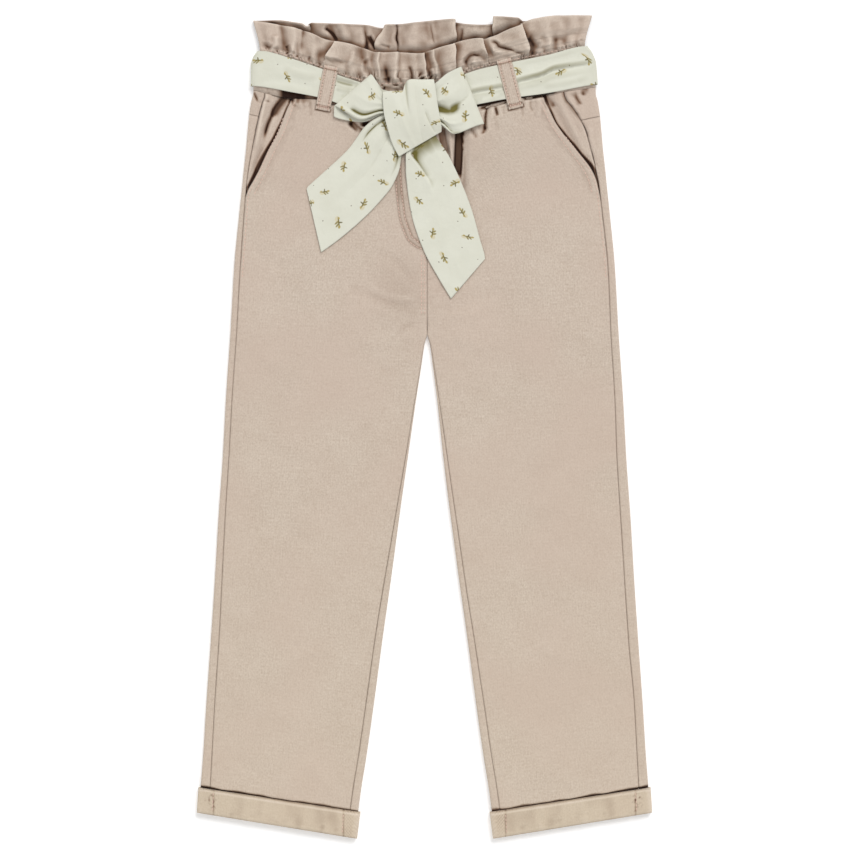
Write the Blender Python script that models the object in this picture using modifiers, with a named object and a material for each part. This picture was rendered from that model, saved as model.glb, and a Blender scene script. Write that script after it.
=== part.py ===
"""Paperbag waist trousers for a young child, laid flat and tied in front with a soft sash.

Every piece that is cut and sewn is one closed solid with a real cloth wall. The legs, yokes and waistband are
flattened tubes: each panel is a stretch of one laid section, which rounds over at the side folds. Sizes are
millimetres. X runs to the wearer's left, Y towards the waist, Z up, and the cloth lies on Z = 0.
"""

from bisect import bisect_right
from collections import namedtuple
from math import acos, cos, hypot, pi, sin

import bmesh
import bpy

MM = 0.001
QUARTER = pi / 2

# ---- Driving sizes ----
WALL = 1.2  # twill
SASH_WALL = 1.0
LOOP_WALL = 1.0
CUFF_WALL = 1.5  # the turned-up hem, two layers
GAP = 0.3  # between pieces that touch
FOLD_SEAM = 0.23  # half the gap of a seam that lies on a fold, where rims lean towards each other
RIM = 0.12  # the last strip of a piece at a seam on a fold, short so that its rim faces its neighbour squarely
SASH_RISE = SASH_WALL + GAP  # how far the sash stands out from what it lies on
LOOP_RISE = LOOP_WALL + GAP
CUFF_RISE = CUFF_WALL + GAP
LAID = 5.6  # height of the laid body, two walls and the air between them
FOLD = LAID / 2  # radius of its side folds
SQUARENESS = 1.5  # over 1, a fold stands upright for a moment at its outermost point, where seams can meet

WAIST_HALF = 136.7  # half width of the waistband under the sash
WAIST_FOLD = 2.5  # radius of its side folds
CROTCH_Y = 74.4
HEM_OUTER_Y = -307.0
HEM_INNER_Y = -327.8
CUFF_DEPTH = 19.2
CUFF_PAST_HEM = 1.0
POCKET_END_Y = 193.0
POCKET_UNDERLAP = 8.0  # how far the pocket facing runs under the front panel
FACING_GAP = 0.5  # between the facing and the side seam, where both lie on the fold
FACING_DIP = 3.2  # the shortest run over which the facing sinks below the front panel
CROTCH_TURN = 16.0  # the centre seams roll down over this height to meet at the crotch
INNER_STRIP = 7.0  # the part of a front panel beside its inner seam, which rounds over the inner fold
LOOP_WIDTH = 12.0
WAISTBAND_MIDDLE = (3.8, 3.0)  # where its front and back half meet at the sides: casing, then free edge
SASH_LIFT_FROM = 246.0  # the hips rise from here on over the sash that lies under them
SASH_LIFT_RUN = 14.0
CUFF_LIFT_RUN = 24.0  # a leg rises into its cuff over this length

SIDES = {"R": -1, "L": 1}  # the wearer's right is at negative X

TWILL = ("Washed twill", (0.62, 0.50, 0.41, 1.0), 0.9)
SASH = ("Sash cotton", (0.78, 0.76, 0.66, 1.0), 0.85)

# ---- The outline: half widths, and where the seams run, measured in from the folded edge ----
BodyRow = namedtuple("BodyRow", "y outer leg_gap outseam_R outseam_L inseam_R inseam_L")
BODY = (
    BodyRow(-330.0, 181.4, 56.2, 8.0, 8.0, 6.6, 6.6),
    BodyRow(-288.0, 178.9, 50.8, 7.8, 7.8, 6.6, 6.6),
    BodyRow(-266.0, 177.2, 47.2, 7.2, 7.2, 6.5, 6.5),
    BodyRow(-218.0, 174.2, 40.4, 6.8, 6.8, 6.4, 6.4),
    BodyRow(-170.0, 170.8, 34.0, 6.6, 6.6, 6.2, 5.6),
    BodyRow(-122.0, 167.6, 27.2, 5.6, 5.6, 5.4, 4.8),
    BodyRow(-74.0, 164.8, 20.8, 5.0, 5.0, 3.6, 4.3),
    BodyRow(-26.0, 161.4, 14.4, 4.4, 4.4, 2.0, 3.4),
    BodyRow(22.0, 158.8, 8.4, 4.1, 4.1, 0.9, 1.6),
    BodyRow(CROTCH_Y, 155.2, GAP / 2, 4.1, 4.1, 0.0, 0.0),
    BodyRow(130.0, 152.0, GAP / 2, 3.9, 3.9, 0.0, 0.0),
    BodyRow(190.0, 146.0, GAP / 2, 3.3, 3.5, 0.0, 0.0),
    BodyRow(205.0, 144.5, GAP / 2, 3.6, 4.4, 0.0, 0.0),
    BodyRow(221.0, 142.7, GAP / 2, 4.8, 6.6, 0.0, 0.0),
    BodyRow(237.0, 141.3, GAP / 2, 6.4, 11.2, 0.0, 0.0),
    BodyRow(250.0, 140.0, GAP / 2, 7.8, 16.4, 0.0, 0.0),
    BodyRow(260.0, 138.4, GAP / 2, 8.6, 21.0, 0.0, 0.0),
    BodyRow(266.0, 136.9, GAP / 2, 9.0, 24.0, 0.0, 0.0),
    BodyRow(272.0, WAIST_HALF, GAP / 2, 9.2, 25.4, 0.0, 0.0),
)

# The free edge of each front panel at its side: the pocket mouth, then the side seam below it.
MouthRow = namedtuple("MouthRow", "y mouth_R mouth_L")
POCKET_MOUTHS = (
    MouthRow(184.0, 3.4, 3.6),
    MouthRow(189.0, 4.6, 5.0),
    MouthRow(196.0, 8.2, 9.0),
    MouthRow(205.6, 11.8, 14.6),
    MouthRow(221.6, 16.8, 22.4),
    MouthRow(237.6, 23.6, 32.8),
    MouthRow(249.6, 26.8, 37.2),
    MouthRow(272.0, 30.4, 42.0),
)

# Curves across the garment, as (x, y) points.
CENTRE_LINE = ((-330.0, 0.4), (-74.0, 0.4), (CROTCH_Y, 2.2), (330.0, 1.8))  # (y, x): it leans a little
FRONT_WAIST_SEAM = (
    (-138.0, 269.2), (-83.6, 259.6), (-35.6, 250.0), (-3.6, 246.4),
    (44.4, 253.6), (70.8, 259.6), (138.0, 271.6),
)
BACK_WAIST_SEAM = ((-138.0, 269.2), (0.0, 269.6), (138.0, 271.6))
YOKE_SEAM = ((-140.0, 249.6), (-60.0, 232.0), (2.0, 214.0), (62.0, 231.0), (140.0, 248.0))
FRONT_CASING_TOP = (
    (-138.0, 301.4), (-107.6, 295.0), (-82.0, 286.2), (-60.0, 278.4), (-31.6, 272.8),
    (4.4, 274.6), (42.8, 285.6), (68.4, 291.2), (98.8, 297.6), (138.0, 305.6),
)
BACK_CASING_TOP = ((-138.0, 301.4), (0.0, 298.0), (138.0, 305.6))
FRONT_FRILL_TOP = (
    (-137.2, 324.8), (-113.2, 320.8), (-96.4, 316.8), (-75.6, 308.8), (-63.6, 307.2), (-50.0, 303.2),
    (-37.2, 299.4), (-23.6, 299.4), (-3.6, 298.4), (4.4, 300.8), (19.6, 305.6), (41.2, 310.4),
    (45.6, 309.8), (70.0, 319.2), (88.4, 326.4), (108.4, 328.8), (134.0, 328.8),
)
BACK_FRILL_TOP = (
    (-137.2, 324.8), (-117.0, 325.2), (-99.6, 322.6), (-95.6, 320.4), (-90.0, 323.2), (-63.6, 322.2),
    (-47.6, 321.6), (-32.4, 318.8), (-29.0, 321.6), (-15.6, 322.4), (4.4, 324.8), (20.4, 326.0),
    (24.0, 323.6), (44.4, 321.6), (54.4, 322.2), (58.8, 328.0), (74.8, 327.4), (79.0, 324.6), (134.0, 328.8),
)
# Side edges of the waistband and of the sash round it, by share of the way up.
CasingSide = namedtuple("CasingSide", "share left right")
WAISTBAND_SIDES = (
    CasingSide(0.0, -WAIST_HALF, WAIST_HALF),
    CasingSide(0.55, -136.5, 134.8),
    CasingSide(1.0, -131.6, 128.2),
    CasingSide(2.0, -137.0, 134.0),
)
SASH_SIDES = (
    CasingSide(0.0, -138.2, 138.0),
    CasingSide(0.6, -138.2, 136.4),
    CasingSide(0.85, -136.6, 133.4),
    CasingSide(1.0, -133.4, 129.8),
)
BODY_TOP = (
    (-330.0, 6.8), (-290.0, 6.7), (-255.0, 5.8), (-210.0, LAID), (170.0, LAID), (225.0, 5.9), (258.0, 6.3),
    (330.0, 6.3),
)  # (y, height)

# ---- Folds ----
# A crease is a soft trough or ridge along a line on the front panels.
Crease = namedtuple("Crease", "x1 y1 x2 y2 width rise")
CREASES = (
    Crease(30.5, 246.0, 31.5, 186.0, 6.0, -1.9),  # deep fold beside the knot
    Crease(20.0, 246.0, 22.0, 196.0, 9.0, 0.8),
    Crease(42.0, 248.0, 40.0, 214.0, 8.0, 0.7),
    Crease(-66.0, 258.0, -36.0, 232.0, 7.0, -0.9),
    Crease(-52.0, 250.0, -28.0, 222.0, 9.0, 0.6),
    Crease(56.0, 262.0, 58.0, 236.0, 5.0, -0.7),
    Crease(-100.0, 262.0, -98.0, 232.0, 7.0, 0.5),
    Crease(-8.0, 92.0, -62.0, 112.0, 9.0, -0.5),
    Crease(12.0, 92.0, 60.0, 110.0, 9.0, -0.5),
    Crease(-6.0, 74.0, -48.0, 66.0, 10.0, 0.5),
    Crease(14.0, 74.0, 52.0, 64.0, 10.0, 0.5),
    Crease(-96.0, 170.0, -118.0, -250.0, 34.0, 0.6),
    Crease(-62.0, 60.0, -92.0, -230.0, 24.0, -0.4),
    Crease(98.0, 168.0, 116.0, -240.0, 32.0, 0.6),
    Crease(66.0, 50.0, 90.0, -230.0, 24.0, -0.4),
    Crease(-150.0, -60.0, -86.0, -96.0, 15.0, -0.4),
    Crease(146.0, -40.0, 88.0, -84.0, 15.0, -0.4),
    Crease(-160.0, -210.0, -96.0, -236.0, 14.0, 0.4),
    Crease(158.0, -196.0, 92.0, -228.0, 14.0, 0.4),
)

# A pleat of the frill has its crest at one place on the free edge and another on the casing, and its own run
# down to the left and right: a short run is a sharp step, a long one a leaning facet.
Pleat = namedtuple("Pleat", "top base left right rise")
FRONT_PLEATS = (
    Pleat(-124.0, -121.0, 9.0, 8.0, 0.8),
    Pleat(-113.4, -112.6, 3.0, 5.0, -1.6),
    Pleat(-105.0, -105.5, 6.0, 5.0, 1.4),
    Pleat(-98.0, -98.4, 2.6, 4.0, -1.6),
    Pleat(-86.0, -89.0, 7.0, 5.0, 1.2),
    Pleat(-69.2, -83.0, 2.6, 15.0, 2.6),
    Pleat(-50.0, -54.8, 4.0, 5.0, -1.7),
    Pleat(-39.6, -38.8, 4.0, 3.5, 1.7),
    Pleat(-32.4, -30.4, 3.0, 4.0, 1.4),
    Pleat(-18.0, -17.0, 6.0, 5.0, 1.6),
    Pleat(-11.4, -8.4, 3.4, 4.0, -1.6),
    Pleat(-2.0, 4.4, 5.0, 3.6, 1.9),
    Pleat(3.6, 12.2, 3.4, 4.0, 1.6),
    Pleat(20.4, 24.0, 12.0, 2.0, 2.5),
    Pleat(44.2, 51.6, 15.0, 2.2, 2.5),
    Pleat(50.0, 71.0, 4.0, 6.0, 1.6),
    Pleat(70.0, 82.2, 12.0, 2.4, 2.5),
    Pleat(88.0, 86.4, 5.0, 8.0, -1.4),
    Pleat(101.0, 99.0, 8.0, 9.0, 1.0),
    Pleat(114.0, 112.0, 9.0, 8.0, -1.2),
    Pleat(124.0, 120.0, 7.0, 7.0, 0.8),
)
BACK_PLEATS = (
    Pleat(-118.0, -112.0, 9.0, 8.0, 1.8),
    Pleat(-95.2, -86.0, 12.0, 2.2, 2.4),
    Pleat(-76.0, -69.0, 4.0, 6.0, -1.3),
    Pleat(-62.0, -58.0, 8.0, 8.0, 1.6),
    Pleat(-47.6, -46.4, 3.0, 4.0, -1.4),
    Pleat(-29.4, -41.0, 2.2, 10.0, 2.8),
    Pleat(-22.2, -21.6, 2.0, 2.4, -1.9),
    Pleat(-8.0, -8.0, 9.0, 10.0, 1.5),
    Pleat(21.0, 25.6, 14.0, 2.2, 2.2),
    Pleat(40.0, 42.0, 9.0, 9.0, 0.8),
    Pleat(58.6, 54.6, 2.2, 16.0, 2.4),
    Pleat(96.0, 94.0, 9.0, 9.0, 1.2),
    Pleat(118.0, 116.0, 9.0, 9.0, 1.2),
)
PUCKER_STEP = 9.5  # from one pucker of the elastic casing to the next
PUCKER_RISE = 0.6
FRILL_BASE = 6.2  # outer height of the front frill between its pleats
BACK_FRILL_RISE = 0.6

# ---- Sash, bow and loops: each row is a section from edge a to edge b ----
Section = namedtuple("Section", "ax ay bx by z crown")
SashRow = namedtuple("SashRow", "x top bottom")
FRONT_SASH = (
    SashRow(-140.0, 298.4, 272.6),
    SashRow(-130.0, 300.2, 271.6),
    SashRow(-107.6, 294.6, 267.6),
    SashRow(-82.0, 286.0, 262.6),
    SashRow(-60.0, 278.0, 255.6),
    SashRow(-12.0, 266.0, 248.4),
    SashRow(8.0, 272.0, 250.0),
    SashRow(42.8, 285.4, 257.6),
    SashRow(68.4, 291.0, 262.4),
    SashRow(98.8, 297.2, 266.6),
    SashRow(128.4, 304.0, 272.2),
    SashRow(140.0, 302.4, 274.0),
)
SASH_MEETS = {"R": -12.0, "L": -8.0}  # both stretches end under the knot

BOW_LOOPS = {
    "R": (
        Section(-16.0, 260.0, -16.0, 251.2, 11.8, 0.0),
        Section(-32.4, 265.4, -32.0, 252.0, 12.2, 0.2),
        Section(-38.0, 275.2, -50.0, 250.4, 12.9, 1.0),
        Section(-41.4, 280.2, -65.0, 254.0, 12.3, 0.8),
        Section(-42.8, 281.6, -71.6, 252.8, 10.3, 0.2),
        Section(-41.4, 279.6, -69.6, 248.0, 8.4, 0.0),
        Section(-36.4, 273.4, -48.4, 243.8, 7.9, 0.0),
        Section(-31.2, 266.0, -32.6, 251.6, 7.9, 0.0),
        Section(-16.0, 260.0, -16.0, 251.2, 7.9, 0.0),
    ),
    "L": (
        Section(-10.0, 264.6, -10.0, 247.2, 11.8, 0.0),
        Section(7.4, 273.4, 12.0, 248.0, 12.3, 0.2),
        Section(18.0, 282.0, 25.2, 246.4, 12.9, 1.0),
        Section(27.0, 286.6, 43.2, 242.4, 12.3, 0.8),
        Section(29.4, 287.6, 47.6, 240.8, 10.3, 0.2),
        Section(27.6, 285.2, 42.6, 238.4, 8.4, 0.0),
        Section(18.8, 280.0, 22.8, 233.8, 7.9, 0.0),
        Section(7.6, 273.0, 14.0, 238.0, 7.9, 0.0),
        Section(-10.0, 264.6, -10.0, 247.2, 7.9, 0.0),
    ),
}
KNOT = (
    Section(-32.2, 268.0, 7.0, 276.2, 11.0, 0.0),
    Section(-33.0, 268.4, 7.4, 276.8, 13.4, 0.2),
    Section(-33.4, 262.6, 8.6, 270.6, 15.0, 0.8),
    Section(-32.6, 251.4, 10.6, 256.8, 15.2, 1.2),
    Section(-29.4, 237.6, 12.6, 245.2, 14.6, 1.0),
    Section(-25.4, 225.2, 13.6, 239.2, 12.9, 0.5),
    Section(-20.4, 215.6, 13.6, 235.6, 11.2, 0.0),
)
TAILS = {
    "R": (
        Section(-28.4, 249.6, -15.6, 226.4, 1.6, 0.0),
        Section(-36.8, 245.8, -18.2, 216.8, 1.8, 0.2),
        Section(-46.8, 239.2, -19.8, 206.8, 1.5, 1.0),
        Section(-60.4, 222.4, -25.2, 193.6, 0.6, 1.0),
        Section(-77.0, 206.6, -38.6, 176.8, 0.3, 0.6),
        Section(-89.4, 195.4, -57.6, 158.6, 0.3, 0.3),
        Section(-93.6, 191.4, -72.0, 147.0, 0.2, 0.3),
        Section(-94.2, 190.2, -82.6, 139.4, 0.2, 0.0),
    ),
    "L": (
        Section(-12.4, 226.4, 7.0, 235.0, 1.6, 0.0),
        Section(-15.0, 216.0, 12.4, 227.2, 1.8, 0.2),
        Section(-15.0, 205.6, 19.6, 216.0, 1.5, 0.9),
        Section(-13.6, 189.6, 28.4, 197.6, 0.8, 1.0),
        Section(-10.0, 168.0, 38.0, 172.8, 0.3, 0.7),
        Section(-0.6, 140.8, 44.4, 149.6, 0.3, 0.4),
        Section(10.8, 119.6, 47.8, 138.2, 0.2, 0.3),
        Section(21.2, 102.4, 48.4, 134.4, 0.2, 0.0),
    ),
}

LoopPlace = namedtuple("LoopPlace", "name top_x top_y bottom_x bottom_y")
FRONT_LOOPS = (
    LoopPlace("loop_front_R", -74.4, 288.5, -81.4, 252.8),
    LoopPlace("loop_front_L", 63.1, 293.8, 73.2, 254.5),
)
BACK_LOOPS = (
    LoopPlace("loop_back_R", -62.0, 302.0, -62.0, 263.0),
    LoopPlace("loop_back_C", 1.8, 302.0, 1.8, 263.0),
    LoopPlace("loop_back_L", 66.0, 304.0, 66.0, 264.0),
)
LOOP_ARCH = ((0.0, 8.5), (0.04, 8.9), (0.1, 9.2), (0.86, 9.2), (0.93, 8.3), (1.0, 7.8))  # (share down, height)


# ---- Small mathematics ----
def lerp(start, end, share):
    return start + (end - start) * share


def smooth(share):
    """0 up to 0 and 1 from 1, with an even slope between."""
    share = min(max(share, 0.0), 1.0)
    return share * share * (3.0 - 2.0 * share)


def curve(points):
    """A smooth function through (at, value) points, which never swings past them."""
    at, value = zip(*points)
    slopes = [(value[i + 1] - value[i]) / (at[i + 1] - at[i]) for i in range(len(at) - 1)]
    inner = [0.0 if a * b <= 0 else 2 * a * b / (a + b) for a, b in zip(slopes, slopes[1:])]
    tangents = [slopes[0], *inner, slopes[-1]]

    def read(x):
        x = min(max(x, at[0]), at[-1])
        i = min(bisect_right(at, x) - 1, len(slopes) - 1)
        step = at[i + 1] - at[i]
        s = (x - at[i]) / step
        start = value[i] * (1 + 2 * s) * (1 - s) ** 2 + value[i + 1] * s * s * (3 - 2 * s)
        return start + step * (tangents[i] * s * (1 - s) ** 2 - tangents[i + 1] * s * s * (1 - s))

    return read


def column(rows, value, at=0):
    """One named column of a table as a smooth function of its first column."""
    return curve([(row[at], getattr(row, value)) for row in rows])


outer_half = column(BODY, "outer")
leg_gap = column(BODY, "leg_gap")
outseam = {name: column(BODY, "outseam_" + name) for name in SIDES}
inseam = {name: column(BODY, "inseam_" + name) for name in SIDES}
pocket_mouth = {name: column(POCKET_MOUTHS, "mouth_" + name) for name in SIDES}
centre_x = curve(CENTRE_LINE)
front_waist_y = curve(FRONT_WAIST_SEAM)
back_waist_y = curve(BACK_WAIST_SEAM)
yoke_y = curve(YOKE_SEAM)
front_casing_y = curve(FRONT_CASING_TOP)
back_casing_y = curve(BACK_CASING_TOP)
front_frill_y = curve(FRONT_FRILL_TOP)
back_frill_y = curve(BACK_FRILL_TOP)
waistband_left = column(WAISTBAND_SIDES, "left")
waistband_right = column(WAISTBAND_SIDES, "right")
sash_left = column(SASH_SIDES, "left")
sash_right = column(SASH_SIDES, "right")
sash_top_y = column(FRONT_SASH, "top")
sash_bottom_y = column(FRONT_SASH, "bottom")
body_top = curve(BODY_TOP)
loop_arch = curve(LOOP_ARCH)


# ---- The laid section: a tube pressed flat, with a round fold at each side ----
def bulge(angle):
    """How far a fold reaches out, as a share of its radius, when it has turned by this angle."""
    return 1 - (1 - sin(angle)) ** SQUARENESS


def path_of(across, radius):
    """The distance round the fold, from its outermost point, to a place this far in from the edge."""
    if across >= radius:
        return radius * QUARTER + across - radius
    return radius * acos(1 - (across / radius) ** (1 / SQUARENESS))


def half_round(width, radius, turn):
    """The distance over the top from the outer fold's outermost point to the inner edge."""
    return radius * QUARTER + width - radius - radius * bulge(turn) + radius * turn


def section(width, radius, turn, path):
    """Place across the tube, and height from -1 below to 1 above, at a distance round it.

    The distance is positive over the top and negative along the underside. `turn` is the angle by which the
    inner edge has rolled over: nothing at a flat seam, a quarter circle at a fold.
    """
    half = half_round(width, radius, turn)
    side = 1.0 if path >= 0 else -1.0
    path = abs(path)
    if path > half:
        side, path = -side, 2 * half - path
    if path < radius * QUARTER:
        return radius * (1 - bulge(QUARTER - path / radius)), side * sin(path / radius)
    inner_start = half - radius * turn
    if path < inner_start:
        return radius + path - radius * QUARTER, side
    angle = (path - inner_start) / radius
    return width - radius * bulge(turn) + radius * bulge(angle), side * cos(angle)


# ---- Heights of the laid cloth ----
def near_segment(x, y, x1, y1, x2, y2):
    """Share along a segment, and distance from it."""
    dx, dy = x2 - x1, y2 - y1
    share = ((x - x1) * dx + (y - y1) * dy) / (dx * dx + dy * dy)
    return share, abs((x - x1) * dy - (y - y1) * dx) / hypot(dx, dy)


def crease_rise(x, y):
    """What the troughs and ridges of the front add to its height."""
    total = 0.0
    for crease in CREASES:
        share, distance = near_segment(x, y, crease.x1, crease.y1, crease.x2, crease.y2)
        if -0.1 < share < 1.1 and distance < crease.width:
            ends = smooth((share + 0.1) * 4) * smooth((1.1 - share) * 4)
            total += crease.rise * ends * (1 - smooth(distance / crease.width))
    return total


def hem_height(x, y):
    """Distance above the slanted hem."""
    inner_x, outer_x = leg_gap(HEM_INNER_Y), outer_half(HEM_OUTER_Y)
    share = (abs(x) - inner_x) / (outer_x - inner_x)
    return y - lerp(HEM_INNER_Y, HEM_OUTER_Y, share)


def loop_lift(x, y):
    """How far the back loops, which lie on the floor, lift what passes over them."""
    lift = 0.0
    for place in BACK_LOOPS:
        beside = 1 - smooth((abs(x - place.top_x) - LOOP_WIDTH / 2 - 4.0) / 19.0)
        above = 1 - smooth((y - place.top_y - 2.0) / 8.0)
        below = 1 - smooth((place.bottom_y - 4.0 - y) / 12.0)
        lift = max(lift, LOOP_RISE * beside * above * below)
    return lift


def underside(x, y):
    """Lowest height of the garment's own cloth: on the floor, or over the sash, the loops or the cuff."""
    on_sash = smooth((y - SASH_LIFT_FROM) / SASH_LIFT_RUN) * (1 - smooth((y - back_casing_y(x) - 1.0) / 8.0))
    in_cuff = 1 - smooth((hem_height(x, y) - CUFF_DEPTH - 3.0) / CUFF_LIFT_RUN)
    return SASH_RISE * on_sash + CUFF_RISE * in_cuff + loop_lift(x, y)


def topside(x, y):
    """Highest height of the body's cloth."""
    return body_top(y) + crease_rise(x, y)


def laid(x, y, height, grow=0.0):
    """The point of the laid body's skin over (x, y), with height from -1 below to 1 above."""
    low, high = underside(x, y) - grow, topside(x, y) + grow
    return x, y, lerp(low, high, (height + 1) / 2)


# ---- Making a piece ----
def material(spec):
    name, colour, roughness = spec
    found = bpy.data.materials.get(name)
    if found:
        return found
    made = bpy.data.materials.new(name)
    made.use_nodes = True
    shader = made.node_tree.nodes["Principled BSDF"]
    shader.inputs["Base Color"].default_value = colour
    shader.inputs["Roughness"].default_value = roughness
    shader.inputs["Metallic"].default_value = 0.0
    made.diffuse_color = colour
    return made


def sheet(name, across, down, point, wall, spec, flip=False, ring=False):
    """One piece of cloth: a grid shaped by point(u, v), with its wall added on the inside.

    `across` and `down` are the stations of its columns and rows. `ring` joins its first column to its last.
    """
    grid = bmesh.new()
    bmesh.ops.create_grid(grid, x_segments=len(across) - 1, y_segments=len(down) - 1, size=0.5)
    grid.verts.ensure_lookup_table()
    for index, vertex in enumerate(grid.verts):
        row, place = divmod(index, len(across))
        x, y, z = point(across[place], down[row])
        vertex.co = (x * MM, y * MM, z * MM)
    if ring:
        bmesh.ops.remove_doubles(grid, verts=grid.verts, dist=0.01 * MM)
    if flip:
        bmesh.ops.reverse_faces(grid, faces=grid.faces)
    mesh = bpy.data.meshes.new(name)
    grid.to_mesh(mesh)
    grid.free()
    mesh.shade_smooth()
    mesh.materials.append(material(spec))
    piece = bpy.data.objects.new(name, mesh)
    garment.objects.link(piece)
    walls = piece.modifiers.new("Wall", "SOLIDIFY")
    walls.thickness = wall * MM
    walls.offset = -1.0
    walls.use_even_offset = True
    return piece


def shares(count):
    return [i / count for i in range(count + 1)]


def stretches(*counts):
    """Stations 0..len(counts), with each whole step cut into its own number of equal parts."""
    return [0.0] + [whole + (i + 1) / count for whole, count in enumerate(counts) for i in range(count)]


def between(keys, station):
    """The value at a station among evenly numbered keys."""
    whole = min(int(station), len(keys) - 2)
    return lerp(keys[whole], keys[whole + 1], station - whole)


# ---- Body panels ----
def hip_frame(side, share, start, end):
    """Edges of the half body at a share of the way down from one seam curve to another."""
    edge_y = lerp(start(side * WAIST_HALF), end(side * WAIST_HALF), share)
    inner_y = lerp(start(0.0), end(0.0), share)
    outer_x = side * outer_half(edge_y)
    inner_x = centre_x(inner_y) + side * GAP / 2
    turn = QUARTER * smooth(1 - (inner_y - CROTCH_Y) / CROTCH_TURN)
    return edge_y, outer_x, inner_x, turn


def hip_point(side, share, start, end, path_at, grow=0.0):
    """A point of the hips. path_at(width, turn, y) gives its distance round the section."""
    edge_y, outer_x, inner_x, turn = hip_frame(side, share, start, end)
    width = abs(inner_x - outer_x)
    across, height = section(width, FOLD, turn, path_at(width, turn, edge_y))
    x = lerp(outer_x, inner_x, across / width)
    return laid(x, lerp(start(x), end(x), share), height, grow)


def leg_point(side, share, path_at, grow=0.0):
    """A point of the leg, from the crotch at 0 to the hem at 1, whose rows slant more and more."""
    outer_y, inner_y = lerp(CROTCH_Y, HEM_OUTER_Y, share), lerp(CROTCH_Y, HEM_INNER_Y, share)
    outer_x = side * (outer_half(outer_y) + grow)
    inner_x = centre_x(inner_y) + side * (leg_gap(inner_y) - grow)
    width = hypot(inner_x - outer_x, inner_y - outer_y)
    across, height = section(width, FOLD + grow, QUARTER, path_at(width, QUARTER, outer_y))
    x, y = lerp(outer_x, inner_x, across / width), lerp(outer_y, inner_y, across / width)
    return laid(x, y, height, grow)


def crotch_line(_x):
    return CROTCH_Y


def body_point(side, station, start, path_at):
    """A point of a panel that runs from the seam `start` to the crotch at 1 and the hem at 2."""
    if station <= 1.0:
        return hip_point(side, station, start, crotch_line, path_at)
    return leg_point(side, station - 1.0, path_at)


HIP_STATIONS = [0.0, 0.06, 0.13, 0.22, 0.31, 0.385, 0.43, 0.52, 0.64, 0.76, 0.87, 0.94, 1.0]
LEG_STATIONS = [1.04, 1.1, 1.18, 1.3, 1.45, 1.6, 1.75, 1.86, 1.92, 1.96, 2.0]


def below(seam, gap=GAP / 2):
    """The same seam curve, moved down by half a gap."""
    return lambda x: seam(x) - gap


def front_path(name, station, width, turn, y):
    """Distance round the section for a front panel: from its free side edge to its inner seam."""
    side_edge = pocket_mouth[name](y) if y > POCKET_MOUTHS[0].y else outseam[name](y)
    start = path_of(side_edge, FOLD) + FOLD_SEAM
    end = half_round(width, FOLD, turn) - path_of(inseam[name](y), FOLD) - FOLD_SEAM * turn / QUARTER
    return between((start, end - INNER_STRIP, end - RIM, end), station)


def front_panel(name, side):
    """From the waist seam to the hem, and from the pocket mouth and side seam to the centre seam and inseam."""

    def point(u, v):
        start = below(front_waist_y)
        return body_point(side, v, start, lambda width, turn, y: front_path(name, u, width, turn, y))

    down = HIP_STATIONS + LEG_STATIONS
    sheet("front_leg_" + name, stretches(12, 3, 1), down, point, WALL, TWILL, flip=side < 0)


def wrapped_path(name, station, width, turn, y):
    """Distance round the section for a back piece, which wraps over the side fold and round the inner fold."""
    half = half_round(width, FOLD, turn)
    start = path_of(outseam[name](y), FOLD) - GAP / 2
    end = -half - path_of(inseam[name](y), FOLD) + FOLD_SEAM * turn / QUARTER
    rounding = FOLD * QUARTER
    return between((start, start - RIM, rounding * 0.7, -rounding, rounding - half, end + RIM, end), station)


WRAP_STATIONS = stretches(1, 1, 4, 8, 4, 1)
YOKE_LEVELS = (262.6, 256.0)  # heights of the rows beside the pocket, which the yoke, leg and facing share
SIDE_LEVELS = (237.0, 221.0, 205.0, POCKET_END_Y)
HIP_LEVELS = (165.0, 128.0, 96.0, 82.0)


def shares_at(levels, start, end):
    """Stations at these heights, between a seam at `start` and one at `end`."""
    return [0.0] + [(start - y) / (start - end) for y in levels] + [1.0]


def back_panel(name, side):
    """The underside from the yoke seam to the hem, wrapped over both folds to the seams on the front."""

    def point(u, v):
        start = below(yoke_y)
        return body_point(side, v, start, lambda width, turn, y: wrapped_path(name, u, width, turn, y))

    down = shares_at(SIDE_LEVELS + HIP_LEVELS, yoke_y(side * WAIST_HALF), CROTCH_Y) + LEG_STATIONS
    sheet("back_leg_" + name, WRAP_STATIONS, down, point, WALL, TWILL, flip=side > 0)


def back_yoke(name, side):
    """The shaped piece between the waistband and the back leg."""

    def point(u, v):
        start = below(front_waist_y if u < 2.5 else back_waist_y)  # its first stations lie on the front
        end = below(yoke_y, -GAP / 2)
        return hip_point(side, v, start, end, lambda width, turn, y: wrapped_path(name, u, width, turn, y))

    down = shares_at(YOKE_LEVELS, front_waist_y(side * WAIST_HALF), yoke_y(side * WAIST_HALF))
    sheet("yoke_" + name, WRAP_STATIONS, down, point, WALL, TWILL, flip=side > 0)


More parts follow.
